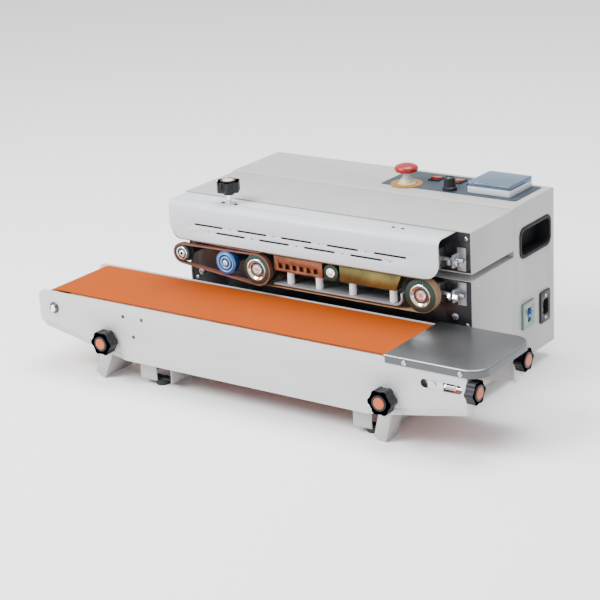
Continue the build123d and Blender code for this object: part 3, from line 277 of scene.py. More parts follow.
def turned(at, axis, profile, sides=48, ring=False):
    """A round solid, or an open ring, from (distance, radius) steps in mm from the point at."""
    along, turn = AXES[axis]
    base = Vector(at) * MM
    start = base + along * profile[0][0] * MM
    bpy.ops.object.select_all(action="DESELECT")
    bpy.ops.mesh.primitive_circle_add(
        vertices=sides, radius=profile[0][1] * MM, fill_type="NGON", location=start, rotation=turn
    )
    obj = bpy.context.active_object
    bpy.ops.object.transform_apply(location=True, rotation=True, scale=True)
    editing(obj)
    for (here, radius), (there, new_radius) in zip(profile, profile[1:]):
        step = along * (there - here) * MM
        bpy.ops.mesh.extrude_region_move(TRANSFORM_OT_translate={"value": step})
        ratio = new_radius / radius
        middle = base + along * there * MM
        bpy.ops.transform.resize(value=(ratio, ratio, ratio), center_override=middle)
    if ring:
        bpy.ops.mesh.select_all(action="DESELECT")
        bpy.ops.mesh.select_face_by_sides(number=4, type="GREATER")
        bpy.ops.mesh.delete(type="ONLY_FACE")
        bpy.ops.mesh.select_mode(type="EDGE")
        bpy.ops.mesh.select_non_manifold()
        bpy.ops.mesh.bridge_edge_loops()
        bpy.ops.mesh.select_mode(type="VERT")
    faces_out()
    return obj


def block(low, high, edge=0.5, segments=2):
    """A soft-edged block between two corners in mm."""
    low, high = Vector(low), Vector(high)
    bpy.ops.object.select_all(action="DESELECT")
    bpy.ops.mesh.primitive_cube_add(size=1, location=(low + high) / 2 * MM)
    obj = bpy.context.active_object
    obj.scale = (high - low) * MM
    bpy.ops.object.transform_apply(location=True, rotation=True, scale=True)
    bevelled(obj, edge, segments)
    return obj


def copied(obj, shift):
    """A copy with its own mesh, moved by shift in mm."""
    twin = bpy.data.objects.new(obj.name + "_twin", obj.data.copy())
    bpy.context.scene.collection.objects.link(twin)
    twin.data.transform(Matrix.Translation(Vector(shift) * MM))
    return twin


def joined(objs):
    """One object from several."""
    only(objs[0])
    for other in objs[1:]:
        other.select_set(True)
    if len(objs) > 1:
        bpy.ops.object.join()
    return objs[0]


def flipped(obj):
    """A copy mirrored above the throat, with its faces turned outwards."""
    twin = copied(obj, (0, 0, 0))
    mirror = Matrix.Translation((0, 0, 2 * THROAT_Z * MM)) @ Matrix.Scale(-1, 4, (0, 0, 1))
    twin.data.transform(mirror)
    editing(twin)
    faces_out()
    return twin


# ---- node groups and finishes -----------------------------------------------------------
SOCKETS = {"c": "NodeSocketColor", "f": "NodeSocketFloat", "v": "NodeSocketVector"}


def new_group(name, inputs, outputs):
    """An empty shader group with its sockets and end nodes."""
    tree = bpy.data.node_groups.new(name, "ShaderNodeTree")
    for kind, label in inputs:
        tree.interface.new_socket(label, in_out="INPUT", socket_type=SOCKETS[kind])
    for kind, label in outputs:
        tree.interface.new_socket(label, in_out="OUTPUT", socket_type=SOCKETS[kind])
    return tree, tree.nodes.new("NodeGroupInput"), tree.nodes.new("NodeGroupOutput")


def node(tree, kind, values=None, **settings):
    """A node with its settings and its unlinked socket values."""
    made = tree.nodes.new("ShaderNode" + kind)
    for key, value in settings.items():
        setattr(made, key, value)
    for key, value in (values or {}).items():
        made.inputs[key].default_value = value
    return made


def noise_on(tree, scale, detail, stretch=None):
    """A noise texture on Object coordinates; scale may be a socket."""
    place = node(tree, "TexCoord")
    source = place.outputs["Object"]
    if stretch is not None:
        mapping = node(tree, "Mapping")
        tree.links.new(source, mapping.inputs["Vector"])
        tree.links.new(stretch, mapping.inputs["Scale"])
        source = mapping.outputs["Vector"]
    made = node(tree, "TexNoise", {"Detail": detail})
    tree.links.new(source, made.inputs["Vector"])
    if isinstance(scale, (int, float)):
        made.inputs["Scale"].default_value = scale
    else:
        tree.links.new(scale, made.inputs["Scale"])
    return made.outputs["Fac"]


def make_groups():
    """The shared effects: tone, grain, brushed lines, edge wear and dust."""
    groups = {}

    tree, given, out = new_group(
        "Tone", (("c", "Color"), ("f", "Spread"), ("f", "Scale")), (("c", "Color"),)
    )
    fac = noise_on(tree, given.outputs["Scale"], 3)
    spread = node(
        tree, "MapRange", {"From Min": 0.3, "From Max": 0.7, "To Min": -1.0, "To Max": 1.0}
    )
    tree.links.new(fac, spread.inputs["Value"])
    times = node(tree, "Math", {2: 1.0}, operation="MULTIPLY_ADD")
    tree.links.new(spread.outputs["Result"], times.inputs[0])
    tree.links.new(given.outputs["Spread"], times.inputs[1])
    tinted = node(tree, "VectorMath", operation="SCALE")
    tree.links.new(given.outputs["Color"], tinted.inputs[0])
    tree.links.new(times.outputs[0], tinted.inputs["Scale"])
    tree.links.new(tinted.outputs[0], out.inputs["Color"])
    groups["tone"] = tree

    tree, given, out = new_group(
        "Grain", (("f", "Scale"), ("v", "Stretch")), (("f", "Height"), ("f", "Value"))
    )
    fine = noise_on(tree, given.outputs["Scale"], 5, given.outputs["Stretch"])
    broad = noise_on(tree, BROAD_SCALE, 2)
    tree.links.new(fine, out.inputs["Height"])
    tree.links.new(broad, out.inputs["Value"])
    groups["grain"] = tree

    tree, given, out = new_group(
        "Edge wear", (("c", "Color"), ("c", "Bare"), ("f", "Amount")), (("c", "Color"),)
    )
    round_off = node(tree, "Bevel", {"Radius": WEAR_RADIUS}, samples=4)
    flat = node(tree, "NewGeometry")
    facing = node(tree, "VectorMath", operation="DOT_PRODUCT")
    tree.links.new(round_off.outputs["Normal"], facing.inputs[0])
    tree.links.new(flat.outputs["Normal"], facing.inputs[1])
    edge = node(
        tree, "MapRange", {"From Min": 0.995, "From Max": 0.90, "To Min": 0.0, "To Max": 1.0}
    )
    tree.links.new(facing.outputs["Value"], edge.inputs["Value"])
    patchy = node(tree, "MapRange", {"From Min": 0.45, "From Max": 0.65})
    tree.links.new(noise_on(tree, PATCH_SCALE, 6), patchy.inputs["Value"])
    both = node(tree, "Math", operation="MULTIPLY")
    tree.links.new(edge.outputs["Result"], both.inputs[0])
    tree.links.new(patchy.outputs["Result"], both.inputs[1])
    much = node(tree, "Math", operation="MULTIPLY")
    tree.links.new(both.outputs[0], much.inputs[0])
    tree.links.new(given.outputs["Amount"], much.inputs[1])
    mix = node(tree, "Mix", data_type="RGBA")
    tree.links.new(much.outputs[0], mix.inputs["Factor"])
    tree.links.new(given.outputs["Color"], mix.inputs[6])
    tree.links.new(given.outputs["Bare"], mix.inputs[7])
    tree.links.new(mix.outputs[2], out.inputs["Color"])
    groups["wear"] = tree

    tree, given, out = new_group(
        "Dust", (("c", "Color"), ("f", "Amount")), (("c", "Color"), ("f", "Mask"))
    )
    shape = node(tree, "NewGeometry")
    parts = node(tree, "SeparateXYZ")
    tree.links.new(shape.outputs["Normal"], parts.inputs[0])
    upward = node(tree, "MapRange", {"From Min": 0.4, "From Max": 1.0})
    tree.links.new(parts.outputs["Z"], upward.inputs["Value"])
    patch = node(tree, "MapRange", {"From Min": 0.35, "From Max": 0.75})
    tree.links.new(noise_on(tree, DUST_SCALE, 7), patch.inputs["Value"])
    cover = node(tree, "Math", operation="MULTIPLY")
    tree.links.new(upward.outputs["Result"], cover.inputs[0])
    tree.links.new(patch.outputs["Result"], cover.inputs[1])
    amount = node(tree, "Math", operation="MULTIPLY")
    tree.links.new(cover.outputs[0], amount.inputs[0])
    tree.links.new(given.outputs["Amount"], amount.inputs[1])
    mix = node(tree, "Mix", data_type="RGBA")
    mix.inputs[7].default_value = DUST_COLOUR
    tree.links.new(amount.outputs[0], mix.inputs["Factor"])
    tree.links.new(given.outputs["Color"], mix.inputs[6])
    tree.links.new(mix.outputs[2], out.inputs["Color"])
    tree.links.new(amount.outputs[0], out.inputs["Mask"])
    groups["dust"] = tree
    return groups


def make_finish(
    groups, name, colour, rough, metal=0.0, spread=0.04, tone=6.0, grain=900.0,
    stretch=(1, 1, 1), bump=0.04, bare=(0.35, 0.35, 0.36), wear=0.3, dust=0.05, vary=0.08,
    **plain
):
    """One surface finish: tone, wear and dust in its colour, grain in its roughness and bump."""
    material = bpy.data.materials.new(name)
    material.use_nodes = True
    tree = material.node_tree
    shader = tree.nodes["Principled BSDF"]
    shader.inputs["Metallic"].default_value = metal
    for key, value in plain.items():
        shader.inputs[key.replace("_", " ")].default_value = value

    def use(group, **values):
        made = tree.nodes.new("ShaderNodeGroup")
        made.node_tree = groups[group]
        for key, value in values.items():
            made.inputs[key].default_value = value
        return made

    toned = use("tone", Color=(*colour, 1), Spread=spread, Scale=tone)
    worn = use("wear", Bare=(*bare, 1), Amount=wear)
    dusty = use("dust", Amount=dust)
    tree.links.new(toned.outputs["Color"], worn.inputs["Color"])
    tree.links.new(worn.outputs["Color"], dusty.inputs["Color"])
    tree.links.new(dusty.outputs["Color"], shader.inputs["Base Color"])
    grained = use("grain", Scale=grain, Stretch=stretch)
    range_of = node(
        tree, "MapRange",
        {"From Min": 0.3, "From Max": 0.7, "To Min": rough - vary, "To Max": rough + vary},
    )
    tree.links.new(grained.outputs["Value"], range_of.inputs["Value"])
    dull = node(tree, "Math", {1: DUST_DULLS}, operation="MULTIPLY_ADD", use_clamp=True)
    tree.links.new(dusty.outputs["Mask"], dull.inputs[0])
    tree.links.new(range_of.outputs["Result"], dull.inputs[2])
    tree.links.new(dull.outputs[0], shader.inputs["Roughness"])
    relief = node(tree, "Bump", {"Strength": bump, "Distance": GRAIN_DEPTH})
    tree.links.new(grained.outputs["Height"], relief.inputs["Height"])
    tree.links.new(relief.outputs["Normal"], shader.inputs["Normal"])
    finishes[name] = material


def colour_of(name, description, default):
    return bpy.props.FloatVectorProperty(
        name=name, description=description, subtype="COLOR", default=default
    )


def length_of(name, description, default):
    return bpy.props.FloatProperty(
        name=name, description=description, default=default, unit="LENGTH"
    )


class SealerColours(bpy.types.PropertyGroup):
    """Colours that a user of the machine would change."""

    housing: colour_of("Housing", "Powder coat of the housing", (0.375, 0.37, 0.36))
    cover: colour_of("Cover", "Paint of the front cover", (0.54, 0.575, 0.61))
    conveyor: colour_of("Conveyor", "Paint of the conveyor's side plates", (0.50, 0.503, 0.508))
    belt: colour_of("Conveyor belt", "Colour of the conveyor belt", (0.34, 0.055, 0.0))
    wheels: colour_of("Wheel rubber", "Rubber of the belt wheels", (0.002, 0.024, 0.013))
    caps: colour_of("Knob caps", "Caps of the hand knobs", (0.42, 0.070, 0.0))
    panel: colour_of("Control panel", "Film of the control panel", (0.028, 0.042, 0.058))


class SealerSizes(bpy.types.PropertyGroup):
    """Sizes that a user of the machine would change, in metres."""

    sheet_edge: length_of("Sheet edge", "Rounding of folded sheet edges", 0.0005)
    moulded_edge: length_of("Moulded edge", "Rounding of moulded edges", 0.0008)
    knob_edge: length_of("Knob edge", "Rounding of the hand knobs' lobes", 0.0017)
    cap_radius: length_of("Cap radius", "Radius of the knobs' caps", 0.0095)


def colours():
    """The colours set in the panel."""
    return bpy.context.scene.sealer_colours


def sizes():
    """The sizes set in the panel."""
    return bpy.context.scene.sealer_sizes


class SEALER_OT_finishes(bpy.types.Operator):
    """Make the finishes and give them to the parts that keep their own shape"""

    bl_idname = "sealer.finishes"
    bl_label = "Finishes"

    def execute(self, context):
        tint = colours()
        groups = make_groups()

        def add(name, colour, rough, **more):
            make_finish(groups, name, tuple(colour), rough, **more)

        add(
            "housing_coat", tint.housing, 0.48, grain=1500, bump=0.10, wear=0.35,
            bare=(0.3108, 0.3034, 0.2886),
        )
        add(
            "cover_coat", tint.cover, 0.40, grain=1300, bump=0.06, wear=0.2,
            bare=(0.37, 0.37, 0.37),
        )
        add(
            "conveyor_coat", tint.conveyor, 0.45, grain=1400, bump=0.08, wear=0.35,
            bare=(0.3108, 0.3108, 0.3108),
        )
        add(
            "leg_coat", tint.housing, 0.45, grain=1400, bump=0.08, wear=0.35,
            bare=(0.3108, 0.3108, 0.3108),
        )
        add(
            "black_coat", (0.010, 0.010, 0.012), 0.34, grain=700, bump=0.08, wear=0.5,
            bare=(0.074, 0.074, 0.0814),
        )
        add(
            "zinc", (0.52, 0.53, 0.55), 0.30, metal=1.0, spread=0.10, tone=20, bump=0.05,
            wear=0.0,
        )
        add(
            "dark_steel", (0.0666, 0.0703, 0.074), 0.35, metal=0.8, spread=0.10, tone=20,
            bump=0.05, wear=0.4,
        )
        add(
            "chrome_plate", (0.90, 0.91, 0.93), 0.13, metal=1.0, spread=0.04, bump=0.01, wear=0.0,
            vary=0.04,
        )
        add(
            "shelf_steel", (0.34, 0.35, 0.37), 0.34, metal=0.55, spread=0.12, tone=16,
            stretch=(0.05, 1, 1), grain=900, bump=0.12, wear=0.2, bare=(0.518, 0.518, 0.518),
        )
        add(
            "tray_steel", (0.2442, 0.2553, 0.2664), 0.36, metal=1.0, spread=0.03, tone=7,
            stretch=(1, 0.03, 1), grain=650, bump=0.10, wear=0.0, dust=0.0, vary=0.03,
        )
        # The tray's sides: the same steel as its top, darker as painted shade.
        add(
            "tray_skirt", (0.0962, 0.0999, 0.1036), 0.34, metal=1.0, spread=0.04, tone=9,
            stretch=(0.05, 1, 1), grain=650, bump=0.10, wear=0.25, bare=(0.296, 0.296, 0.296),
            dust=0.0, vary=0.04,
        )
        add(
            "green_rubber", tint.wheels, 0.45, spread=0.2, tone=70, grain=500, bump=0.15,
            wear=0.5, bare=(0.0296, 0.1036, 0.0666),
        )
        add(
            "dark_rubber", (0.012, 0.026, 0.022), 0.48, spread=0.2, tone=60, bump=0.2, wear=0.5,
            bare=(0.0444, 0.0666, 0.0592),
        )
        add(
            "black_rubber", (0.015, 0.015, 0.016), 0.62, spread=0.2, bump=0.2, wear=0.4,
            bare=(0.0518, 0.0518, 0.0518),
        )
        add(
            "belt_rubber", tint.belt, 0.80, spread=0.03, tone=5, grain=1600, bump=0.16, wear=0.3,
            bare=(0.333, 0.0962, 0.0148), dust=0.0, Specular_IOR_Level=0.18,
        )
        add(
            "seal_cloth", (0.3404, 0.2146, 0.1147), 0.50, spread=0.14, tone=45, grain=1800,
            bump=0.25, wear=0.3, bare=(0.444, 0.333, 0.222),
        )
        add(
            "guide_rubber", (0.148, 0.0518, 0.0333), 0.50, spread=0.28, tone=40, grain=700,
            bump=0.2, wear=0.5, bare=(0.3108, 0.1776, 0.1332),
        )
        add(
            "copper", (0.22, 0.082, 0.042), 0.36, metal=0.7, spread=0.35, tone=55, grain=420,
            bump=0.3, wear=0.7, bare=(0.5772, 0.2664, 0.148),
        )
        add(
            "brass", (0.15, 0.122, 0.036), 0.36, metal=0.75, spread=0.32, tone=38, grain=520,
            stretch=(1, 1, 0.06), bump=0.6, wear=0.7, bare=(0.4588, 0.3848, 0.1776),
        )
        add(
            "blue_moulding", (0.0074, 0.0629, 0.2442), 0.24, spread=0.1, grain=300, bump=0.03,
            wear=0.3, bare=(0.0888, 0.2368, 0.444), Coat_Weight=0.3,
        )
        add(
            "navy_moulding", (0.010, 0.022, 0.075), 0.30, spread=0.1, grain=300, bump=0.03,
            wear=0.3, bare=(0.0444, 0.074, 0.148),
        )
        add(
            "pale_blue", (0.1184, 0.3108, 0.555), 0.25, spread=0.1, grain=300, bump=0.03,
            wear=0.2, Coat_Weight=0.3,
        )
        add(
            "black_moulding", (0.006, 0.007, 0.010), 0.40, spread=0.15, grain=1200, bump=0.14,
            wear=0.35, bare=(0.0444, 0.0444, 0.0481), dust=0.03, Specular_IOR_Level=0.3,
        )
        add("white_moulding", (0.5328, 0.555, 0.5772), 0.36, grain=900, bump=0.05, wear=0.15)
        add(
            "nylon", (0.70, 0.72, 0.74), 0.38, spread=0.06, tone=50, grain=600, bump=0.06,
            wear=0.1,
        )
        add("cream_moulding", (0.592, 0.5032, 0.3108), 0.34, grain=900, bump=0.05, wear=0.1)
        add(
            "red_moulding", (0.27, 0.001, 0.001), 0.30, spread=0.08, grain=500, bump=0.03,
            wear=0.25, bare=(0.555, 0.074, 0.0592), Coat_Weight=0.12,
        )
        add(
            "orange_moulding", tint.caps, 0.42, spread=0.06, grain=700, bump=0.06, wear=0.2,
            bare=(0.629, 0.3108, 0.1332),
        )
        add(
            "amber_moulding", (0.22, 0.042, 0.002), 0.28, spread=0.1, grain=500, bump=0.03,
            wear=0.2, Coat_Weight=0.3,
        )
        add("yellow_film", (0.34, 0.13, 0.003), 0.40, spread=0.06, grain=700, bump=0.03, wear=0.2)
        add(
            "panel_film", tint.panel, 0.45, spread=0.10, tone=12, grain=1200, bump=0.05, wear=0.3,
            bare=(0.2, 0.22, 0.24), dust=0.0, Specular_IOR_Level=0.25,
        )
        add("grey_moulding", (0.2516, 0.2738, 0.2664), 0.40, grain=900, bump=0.06, wear=0.2)
        add(
            "window_green", (0.1184, 0.1776, 0.1628), 0.25, grain=700, bump=0.03, wear=0.1,
            Coat_Weight=0.3,
        )
        add(
            "display_black", (0.010, 0.012, 0.016), 0.12, spread=0.1, grain=500, bump=0.01,
            wear=0.0, vary=0.03,
        )
        add(
            "motor_coat", (0.0555, 0.0592, 0.0666), 0.42, grain=900, bump=0.1, wear=0.5,
            bare=(0.222, 0.222, 0.222),
        )
        add(
            "smoke_clear", (0.17, 0.28, 0.39), 0.12, spread=0.03, grain=60, bump=0.0, wear=0.0,
            dust=0.0, vary=0.02, Transmission_Weight=0.72, IOR=1.12, Coat_Weight=0.6,
        )
        # The hems' paint: the conveyor plates' grey made darker, a painted shade of the downward
        # fold.
        add(
            "hem_shade_coat", (0.43, 0.434, 0.44), 0.45, grain=1400, bump=0.08, wear=0.35,
            bare=(0.25, 0.25, 0.25),
        )
        add(
            "deep_black", (0.004, 0.0045, 0.006), 0.62, spread=0.15, grain=1200, bump=0.10,
            wear=0.2, bare=(0.02, 0.02, 0.022), dust=0.0, Specular_IOR_Level=0.2,
        )
        kept = {
            "zinc": (
                "lower_gear_shaft", "upper_gear_shaft", "left_end_roller", "tail_roller",
                "tail_axle", "conveyor_drive_roller", "motor_pinion", "slider_bed",
            ),
            "seal_cloth": ("sealing_belts",),
            "guide_rubber": ("guide_belts",),
            "belt_rubber": ("conveyor_belt",),
            "black_moulding": ("fan_rotor",),
            "panel_film": ("control_panel",),
        }
        for finish, names in kept.items():
            for name in names:
                data = NODES[name].data
                data.materials.clear()
                data.materials.append(finishes[finish])
        return {"FINISHED"}


class SEALER_OT_housing(bpy.types.Operator):
    """Soft-edged sheet metal: base, housings, panels, cover, plates, tray and legs"""

    bl_idname = "sealer.housing"
    bl_label = "Sheet metal"

    def execute(self, context):
        edge = sizes().sheet_edge / MM
        coats = {
            "housing_coat": (
                "base_frame", "rear_box_shell", "rear_panel", "upper_head_cover", "lower_housing",
            ),
            "black_coat": ("mounting_plates",),
            "cover_coat": ("front_cover",),
            "conveyor_coat": ("conveyor_side_plates",),
            "leg_coat": ("left_leg", "right_leg"),
        }
        for finish, names in coats.items():
            for name in names:
                soft_edged(name, finish, edge)
        tray = merged_copy("end_tray", False)
        finished(tray, "end_tray_soft", "tray_steel", "machine", ("end_tray",))
        # Faces that do not point up get the darker steel: painted shade on the tray's folded-down
        # skirt.
        tray.data.materials.append(finishes["tray_skirt"])
        for face in tray.data.polygons:
            face.material_index = int(face.normal.z < TRAY_SHADE_SLOPE)

        # Hem strips along the plate's lower edges; their darker coat is painted shade of the
        # fold.
        hems = []
        for corners in HEM_CORNERS:
            bpy.ops.object.select_all(action="DESELECT")
            bpy.ops.mesh.primitive_circle_add(vertices=len(corners), radius=0.1, fill_type="NGON")
            hem = bpy.context.active_object
            for vertex, (x, z) in zip(hem.data.vertices, corners):
                vertex.co = (x * MM, (PLATE_FRONT - 0.6) * MM, z * MM)
            editing(hem)
            bpy.ops.mesh.extrude_region_move(TRANSFORM_OT_translate={"value": (0, MM, 0)})
            faces_out()
            bevelled(hem, 0.5, 3)
            hems.append(hem)
        finished(joined(hems), "plate_hems", "hem_shade_coat", "machine")

        low, high = (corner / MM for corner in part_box("front_cover"))
        # A thin black sheet just behind the vent slots: painted shade for the dark inside seen
        # through them.
        near, far = (low.x + 30, low.y + 1.5, VENT_LOW), (high.x - 30, low.y + 2.1, VENT_HIGH)
        shade_sheet = block(near, far, 0.2)
        finished(shade_sheet, "vent_shade_sheet", "deep_black", "machine")
        return {"FINISHED"}


class SEALER_OT_mouldings(bpy.types.Operator):
    """Soft-edged moulded, machined and rubber parts"""

    bl_idname = "sealer.mouldings"
    bl_label = "Mouldings"

    def execute(self, context):
        edge = sizes().moulded_edge / MM
        parts = {
            "deep_black": ("side_handles",),
            "black_moulding": ("power_inlet",),
            "white_moulding": ("temperature_controller",),
            "smoke_clear": ("controller_cover",),
            "window_green": ("breaker_body",),
            "blue_moulding": ("breaker_toggle", "lower_emboss_wheel", "upper_emboss_wheel"),
            "navy_moulding": ("blue_rocker",),
            "red_moulding": ("red_rocker",),
            "amber_moulding": ("orange_rocker",),
            "green_rubber": (
                "lower_drive_wheel", "upper_drive_wheel", "lower_tension_wheel",
                "upper_tension_wheel", "lower_press_roller", "upper_press_roller",
            ),
            "dark_rubber": ("lower_guide_pulley", "upper_guide_pulley"),
            "zinc": ("lower_wheel_carrier", "upper_wheel_carrier", "emboss_carrier"),
            "shelf_steel": ("mechanism_brackets",),
            "copper": ("heater_blocks",),
            "brass": ("cooling_blocks",),
            "black_rubber": ("rubber_feet",),
            "motor_coat": ("gear_motor",),
        }
        for finish, names in parts.items():
            for name in names:
                thin = name == "mechanism_brackets"
                soft_edged(name, finish, min(edge, BRACKET_EDGE) if thin else edge)
        return {"FINISHED"}


class SEALER_OT_hubs(bpy.types.Operator):
    """Bright hubs, dark seals and rings in the fronts of the wheels and rollers"""

    bl_idname = "sealer.hubs"
    bl_label = "Wheel hubs"

    def execute(self, context):
        for x, front, z, steps, part, finish, bodies in (
            (DRIVE_X, WHEEL_FRONT, WHEEL_Z, HUB_CUP, "hub", "chrome_plate", "drive"),
            (DRIVE_X, WHEEL_FRONT, WHEEL_Z, HUB_SEAL, "seal", "black_rubber", "drive"),
            (TENSION_X, WHEEL_STEP, WHEEL_Z, HUB_CUP, "hub", "chrome_plate", "tension"),
            (TENSION_X, WHEEL_STEP, WHEEL_Z, HUB_SEAL, "seal", "black_rubber", "tension"),
            (PULLEY_X, WHEEL_FRONT + 1, PULLEY_Z, PULLEY_HUB, "hub", "chrome_plate", "pulley"),
            (PRESS_X, WHEEL_STEP, PRESS_Z, ROLLER_HUB, "hub", "chrome_plate", "press"),
        ):
            low = turned((x, front, z), "-Y", steps)
            for obj, side in ((low, "lower_"), (flipped(low), "upper_")):
                body = side + bodies
                finished(obj, body + "_" + part, finish, body, smooth=ROUND_ANGLE)

        emboss = (EMBOSS_X, WHEEL_FRONT, EMBOSS_Z)
        rings = []
        for outer, inner in EMBOSS_RINGS:
            steps = (
                (-2.9, outer), (0.2, outer), (0.6, outer - 0.5),
                (0.6, inner + 0.5), (0.2, inner), (-2.9, inner),
            )
            rings.append(turned(emboss, "-Y", steps, ring=True))
        finished(
            joined(rings), "lower_emboss_rings", "pale_blue", "lower_emboss", smooth=ROUND_ANGLE
        )
        nut = turned(emboss, "-Y", EMBOSS_NUT, 6)
        finished(nut, "lower_emboss_nut", "chrome_plate", "lower_emboss", smooth=20)
        return {"FINISHED"}


class SEALER_OT_posts(bpy.types.Operator):
    """White posts between the shelves and the blocks"""

    bl_idname = "sealer.posts"
    bl_label = "Posts"

    def execute(self, context):
        tall = BLOCK_LOW - SHELF_TOP
        steps = ((0.05, 5.2), (0.5, 6.0), (tall - 0.7, 6.0), (tall - 0.1, 5.4))
        lower = joined([turned((x, POST_Y, SHELF_TOP), "Z", steps, 32) for x in POST_XS])
        upper = flipped(lower)
        finished(lower, "lower_posts", "nylon", "machine")
        finished(upper, "upper_posts", "nylon", "machine")
        return {"FINISHED"}


class SEALER_OT_knobs(bpy.types.Operator):
    """Lobed hand knobs with rings and coloured caps"""

    bl_idname = "sealer.knobs"
    bl_label = "Hand knobs"

    def execute(self, context):
        cap_r = sizes().cap_radius / MM
        edge = sizes().knob_edge / MM
        for name, (axis, cap, drop) in KNOBS.items():
            along = AXES[axis][0]
            low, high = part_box(name)
            place = (low + high) / 2 / MM
            at = place - along * place.dot(along)
            tip = (low if axis == "-Y" else high).dot(along) / MM
            face = tip - drop
            grip = merged_copy(name)
            editing(grip)
            bpy.ops.mesh.bisect(
                plane_co=along * face * MM, plane_no=along, use_fill=True, clear_outer=True
            )
            bpy.ops.object.mode_set(mode="OBJECT")
            bevelled(grip, edge, 3, 40)
            body = NODES[name]["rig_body"]
            finished(grip, name + "_grip", "black_moulding", body, (name,))
            grip.data.materials.append(finishes["chrome_plate"])
            for flat in grip.data.polygons:
                off = flat.center / MM - at
                out = (off - along * off.dot(along)).length
                flat.material_index = int(out < KNOB_ROD and off.dot(along) < face - 1)
            steps = (
                (face - 1, cap_r + 3.4), (face + 1.0, cap_r + 3.0), (face + 1.5, cap_r + 2.0),
                (face + 1.5, cap_r + 0.3),
            )
            finished(turned(at, axis, steps), name + "_ring", "black_moulding", body)
            steps = (
                (face - 0.5, cap_r), (face + 1.2, cap_r), (face + 1.8, cap_r - 0.8),
                (face + 2.0, cap_r - 3.0), (face + 2.0, 0.2),
            )
            finished(turned(at, axis, steps), name + "_cap", cap, body)
        return {"FINISHED"}


class SEALER_OT_stop_button(bpy.types.Operator):
    """Emergency stop: yellow disc, pale collar and red mushroom head"""

    bl_idname = "sealer.stop_button"
    bl_label = "Stop button"

    def execute(self, context):
        x, y = centre_of("estop_button")[:2]
        disc = turned((x, y, PANEL_TOP), "Z", STOP_DISC, 64, True)
        finished(disc, "stop_disc", "yellow_film", "machine")
        collar = turned((x, y, PANEL_TOP), "Z", STOP_COLLAR)
        finished(collar, "stop_collar", "cream_moulding", "machine", ("estop_base",))
        low, high = (corner.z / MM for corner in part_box("estop_button"))
        under = high - STOP_HEAD_TALL
        steps = ((low, 6.4), (under - 1.2, 6.4), (under + 0.4, 8.6), (under + 0.4, 0.2))
        finished(turned((x, y, 0), "Z", steps, 40), "stop_stem", "white_moulding", "estop")
        steps = [(under + up, radius) for up, radius in STOP_HEAD] + [(high, 0.3)]
        head = turned((x, y, 0), "Z", steps, 64)
        finished(head, "stop_head", "red_moulding", "estop", ("estop_button",), smooth=60)
        return {"FINISHED"}


class SEALER_OT_controls(bpy.types.Operator):
    """Frames round the rockers, the speed dial and the temperature controller's face"""

    bl_idname = "sealer.controls"
    bl_label = "Controls"

    def execute(self, context):
        frames = []
        for name in ("red_rocker", "orange_rocker", "blue_rocker"):
            middle = centre_of(name)
            bpy.ops.object.select_all(action="DESELECT")
            place = Vector((middle.x, middle.y, PANEL_TOP + 0.1)) * MM
            bpy.ops.mesh.primitive_plane_add(size=1, location=place)
            obj = bpy.context.active_object
            obj.scale = ROCKER_FRAME
            bpy.ops.object.transform_apply(location=True, rotation=True, scale=True)
            editing(obj)
            bpy.ops.mesh.inset(thickness=FRAME_WIDTH)
            bpy.ops.mesh.delete(type="FACE")
            bpy.ops.object.mode_set(mode="OBJECT")
            modifier(obj, "SOLIDIFY", thickness=FRAME_TALL, offset=1.0)
            bevelled(obj, 0.6)
            frames.append(obj)
        finished(joined(frames), "rocker_frames", "black_moulding", "machine")

        x, y = centre_of("speed_knob")[:2]
        dial = turned((x, y, PANEL_TOP), "Z", DIAL, DIAL_SIDES)
        middle = Vector((x, y, PANEL_TOP)) * MM
        for vertex in dial.data.vertices:
            flat = vertex.co.xy - middle.xy
            turn = round(math.atan2(flat.y, flat.x) / (2 * math.pi / DIAL_SIDES))
            high_up = vertex.co.z / MM > PANEL_TOP + DIAL_GRIP_LOW
            side = high_up and flat.length > DIAL_FACE_R * MM
            vertex.select = side and turn % RIB_STEP in (0, 1)
        bpy.ops.object.mode_set(mode="EDIT")
        bpy.ops.transform.resize(value=(GROOVE_RATIO, GROOVE_RATIO, 1.0), center_override=middle)
        bpy.ops.object.mode_set(mode="OBJECT")
        finished(dial, "speed_dial", "black_moulding", "speed_dial", ("speed_knob",), smooth=25)
        near, far = (x - 0.8, y - 8.2, PANEL_TOP + 20.0), (x + 0.8, y - 1.5, PANEL_TOP + 20.8)
        pointer = block(near, far, 0.2)
        finished(pointer, "speed_pointer", "white_moulding", "speed_dial")

        low, high = (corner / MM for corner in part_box("temperature_controller"))
        top = high.z
        near, far = (low.x + 9, low.y + 8, top - 0.5), (high.x - 9, high.y - 8, top + 1.2)
        bezel = block(near, far, 0.8, 3)
        finished(bezel, "controller_bezel", "black_moulding", "machine")
        near, far = (low.x + 14, low.y + 34, top + 0.9), (high.x - 14, high.y - 13, top + 2.0)
        window = block(near, far, 0.3)
        finished(window, "controller_window", "display_black", "machine")
        keys = []
        for index in range(KEY_COUNT):
            left = low.x + KEY_START + index * KEY_PITCH
            near, far = (left, low.y + 14, top + 0.9), (left + KEY_WIDTH, low.y + 23, top + 2.6)
            keys.append(block(near, far, 0.7, 3))
        finished(joined(keys), "controller_keys", "grey_moulding", "machine")
        return {"FINISHED"}


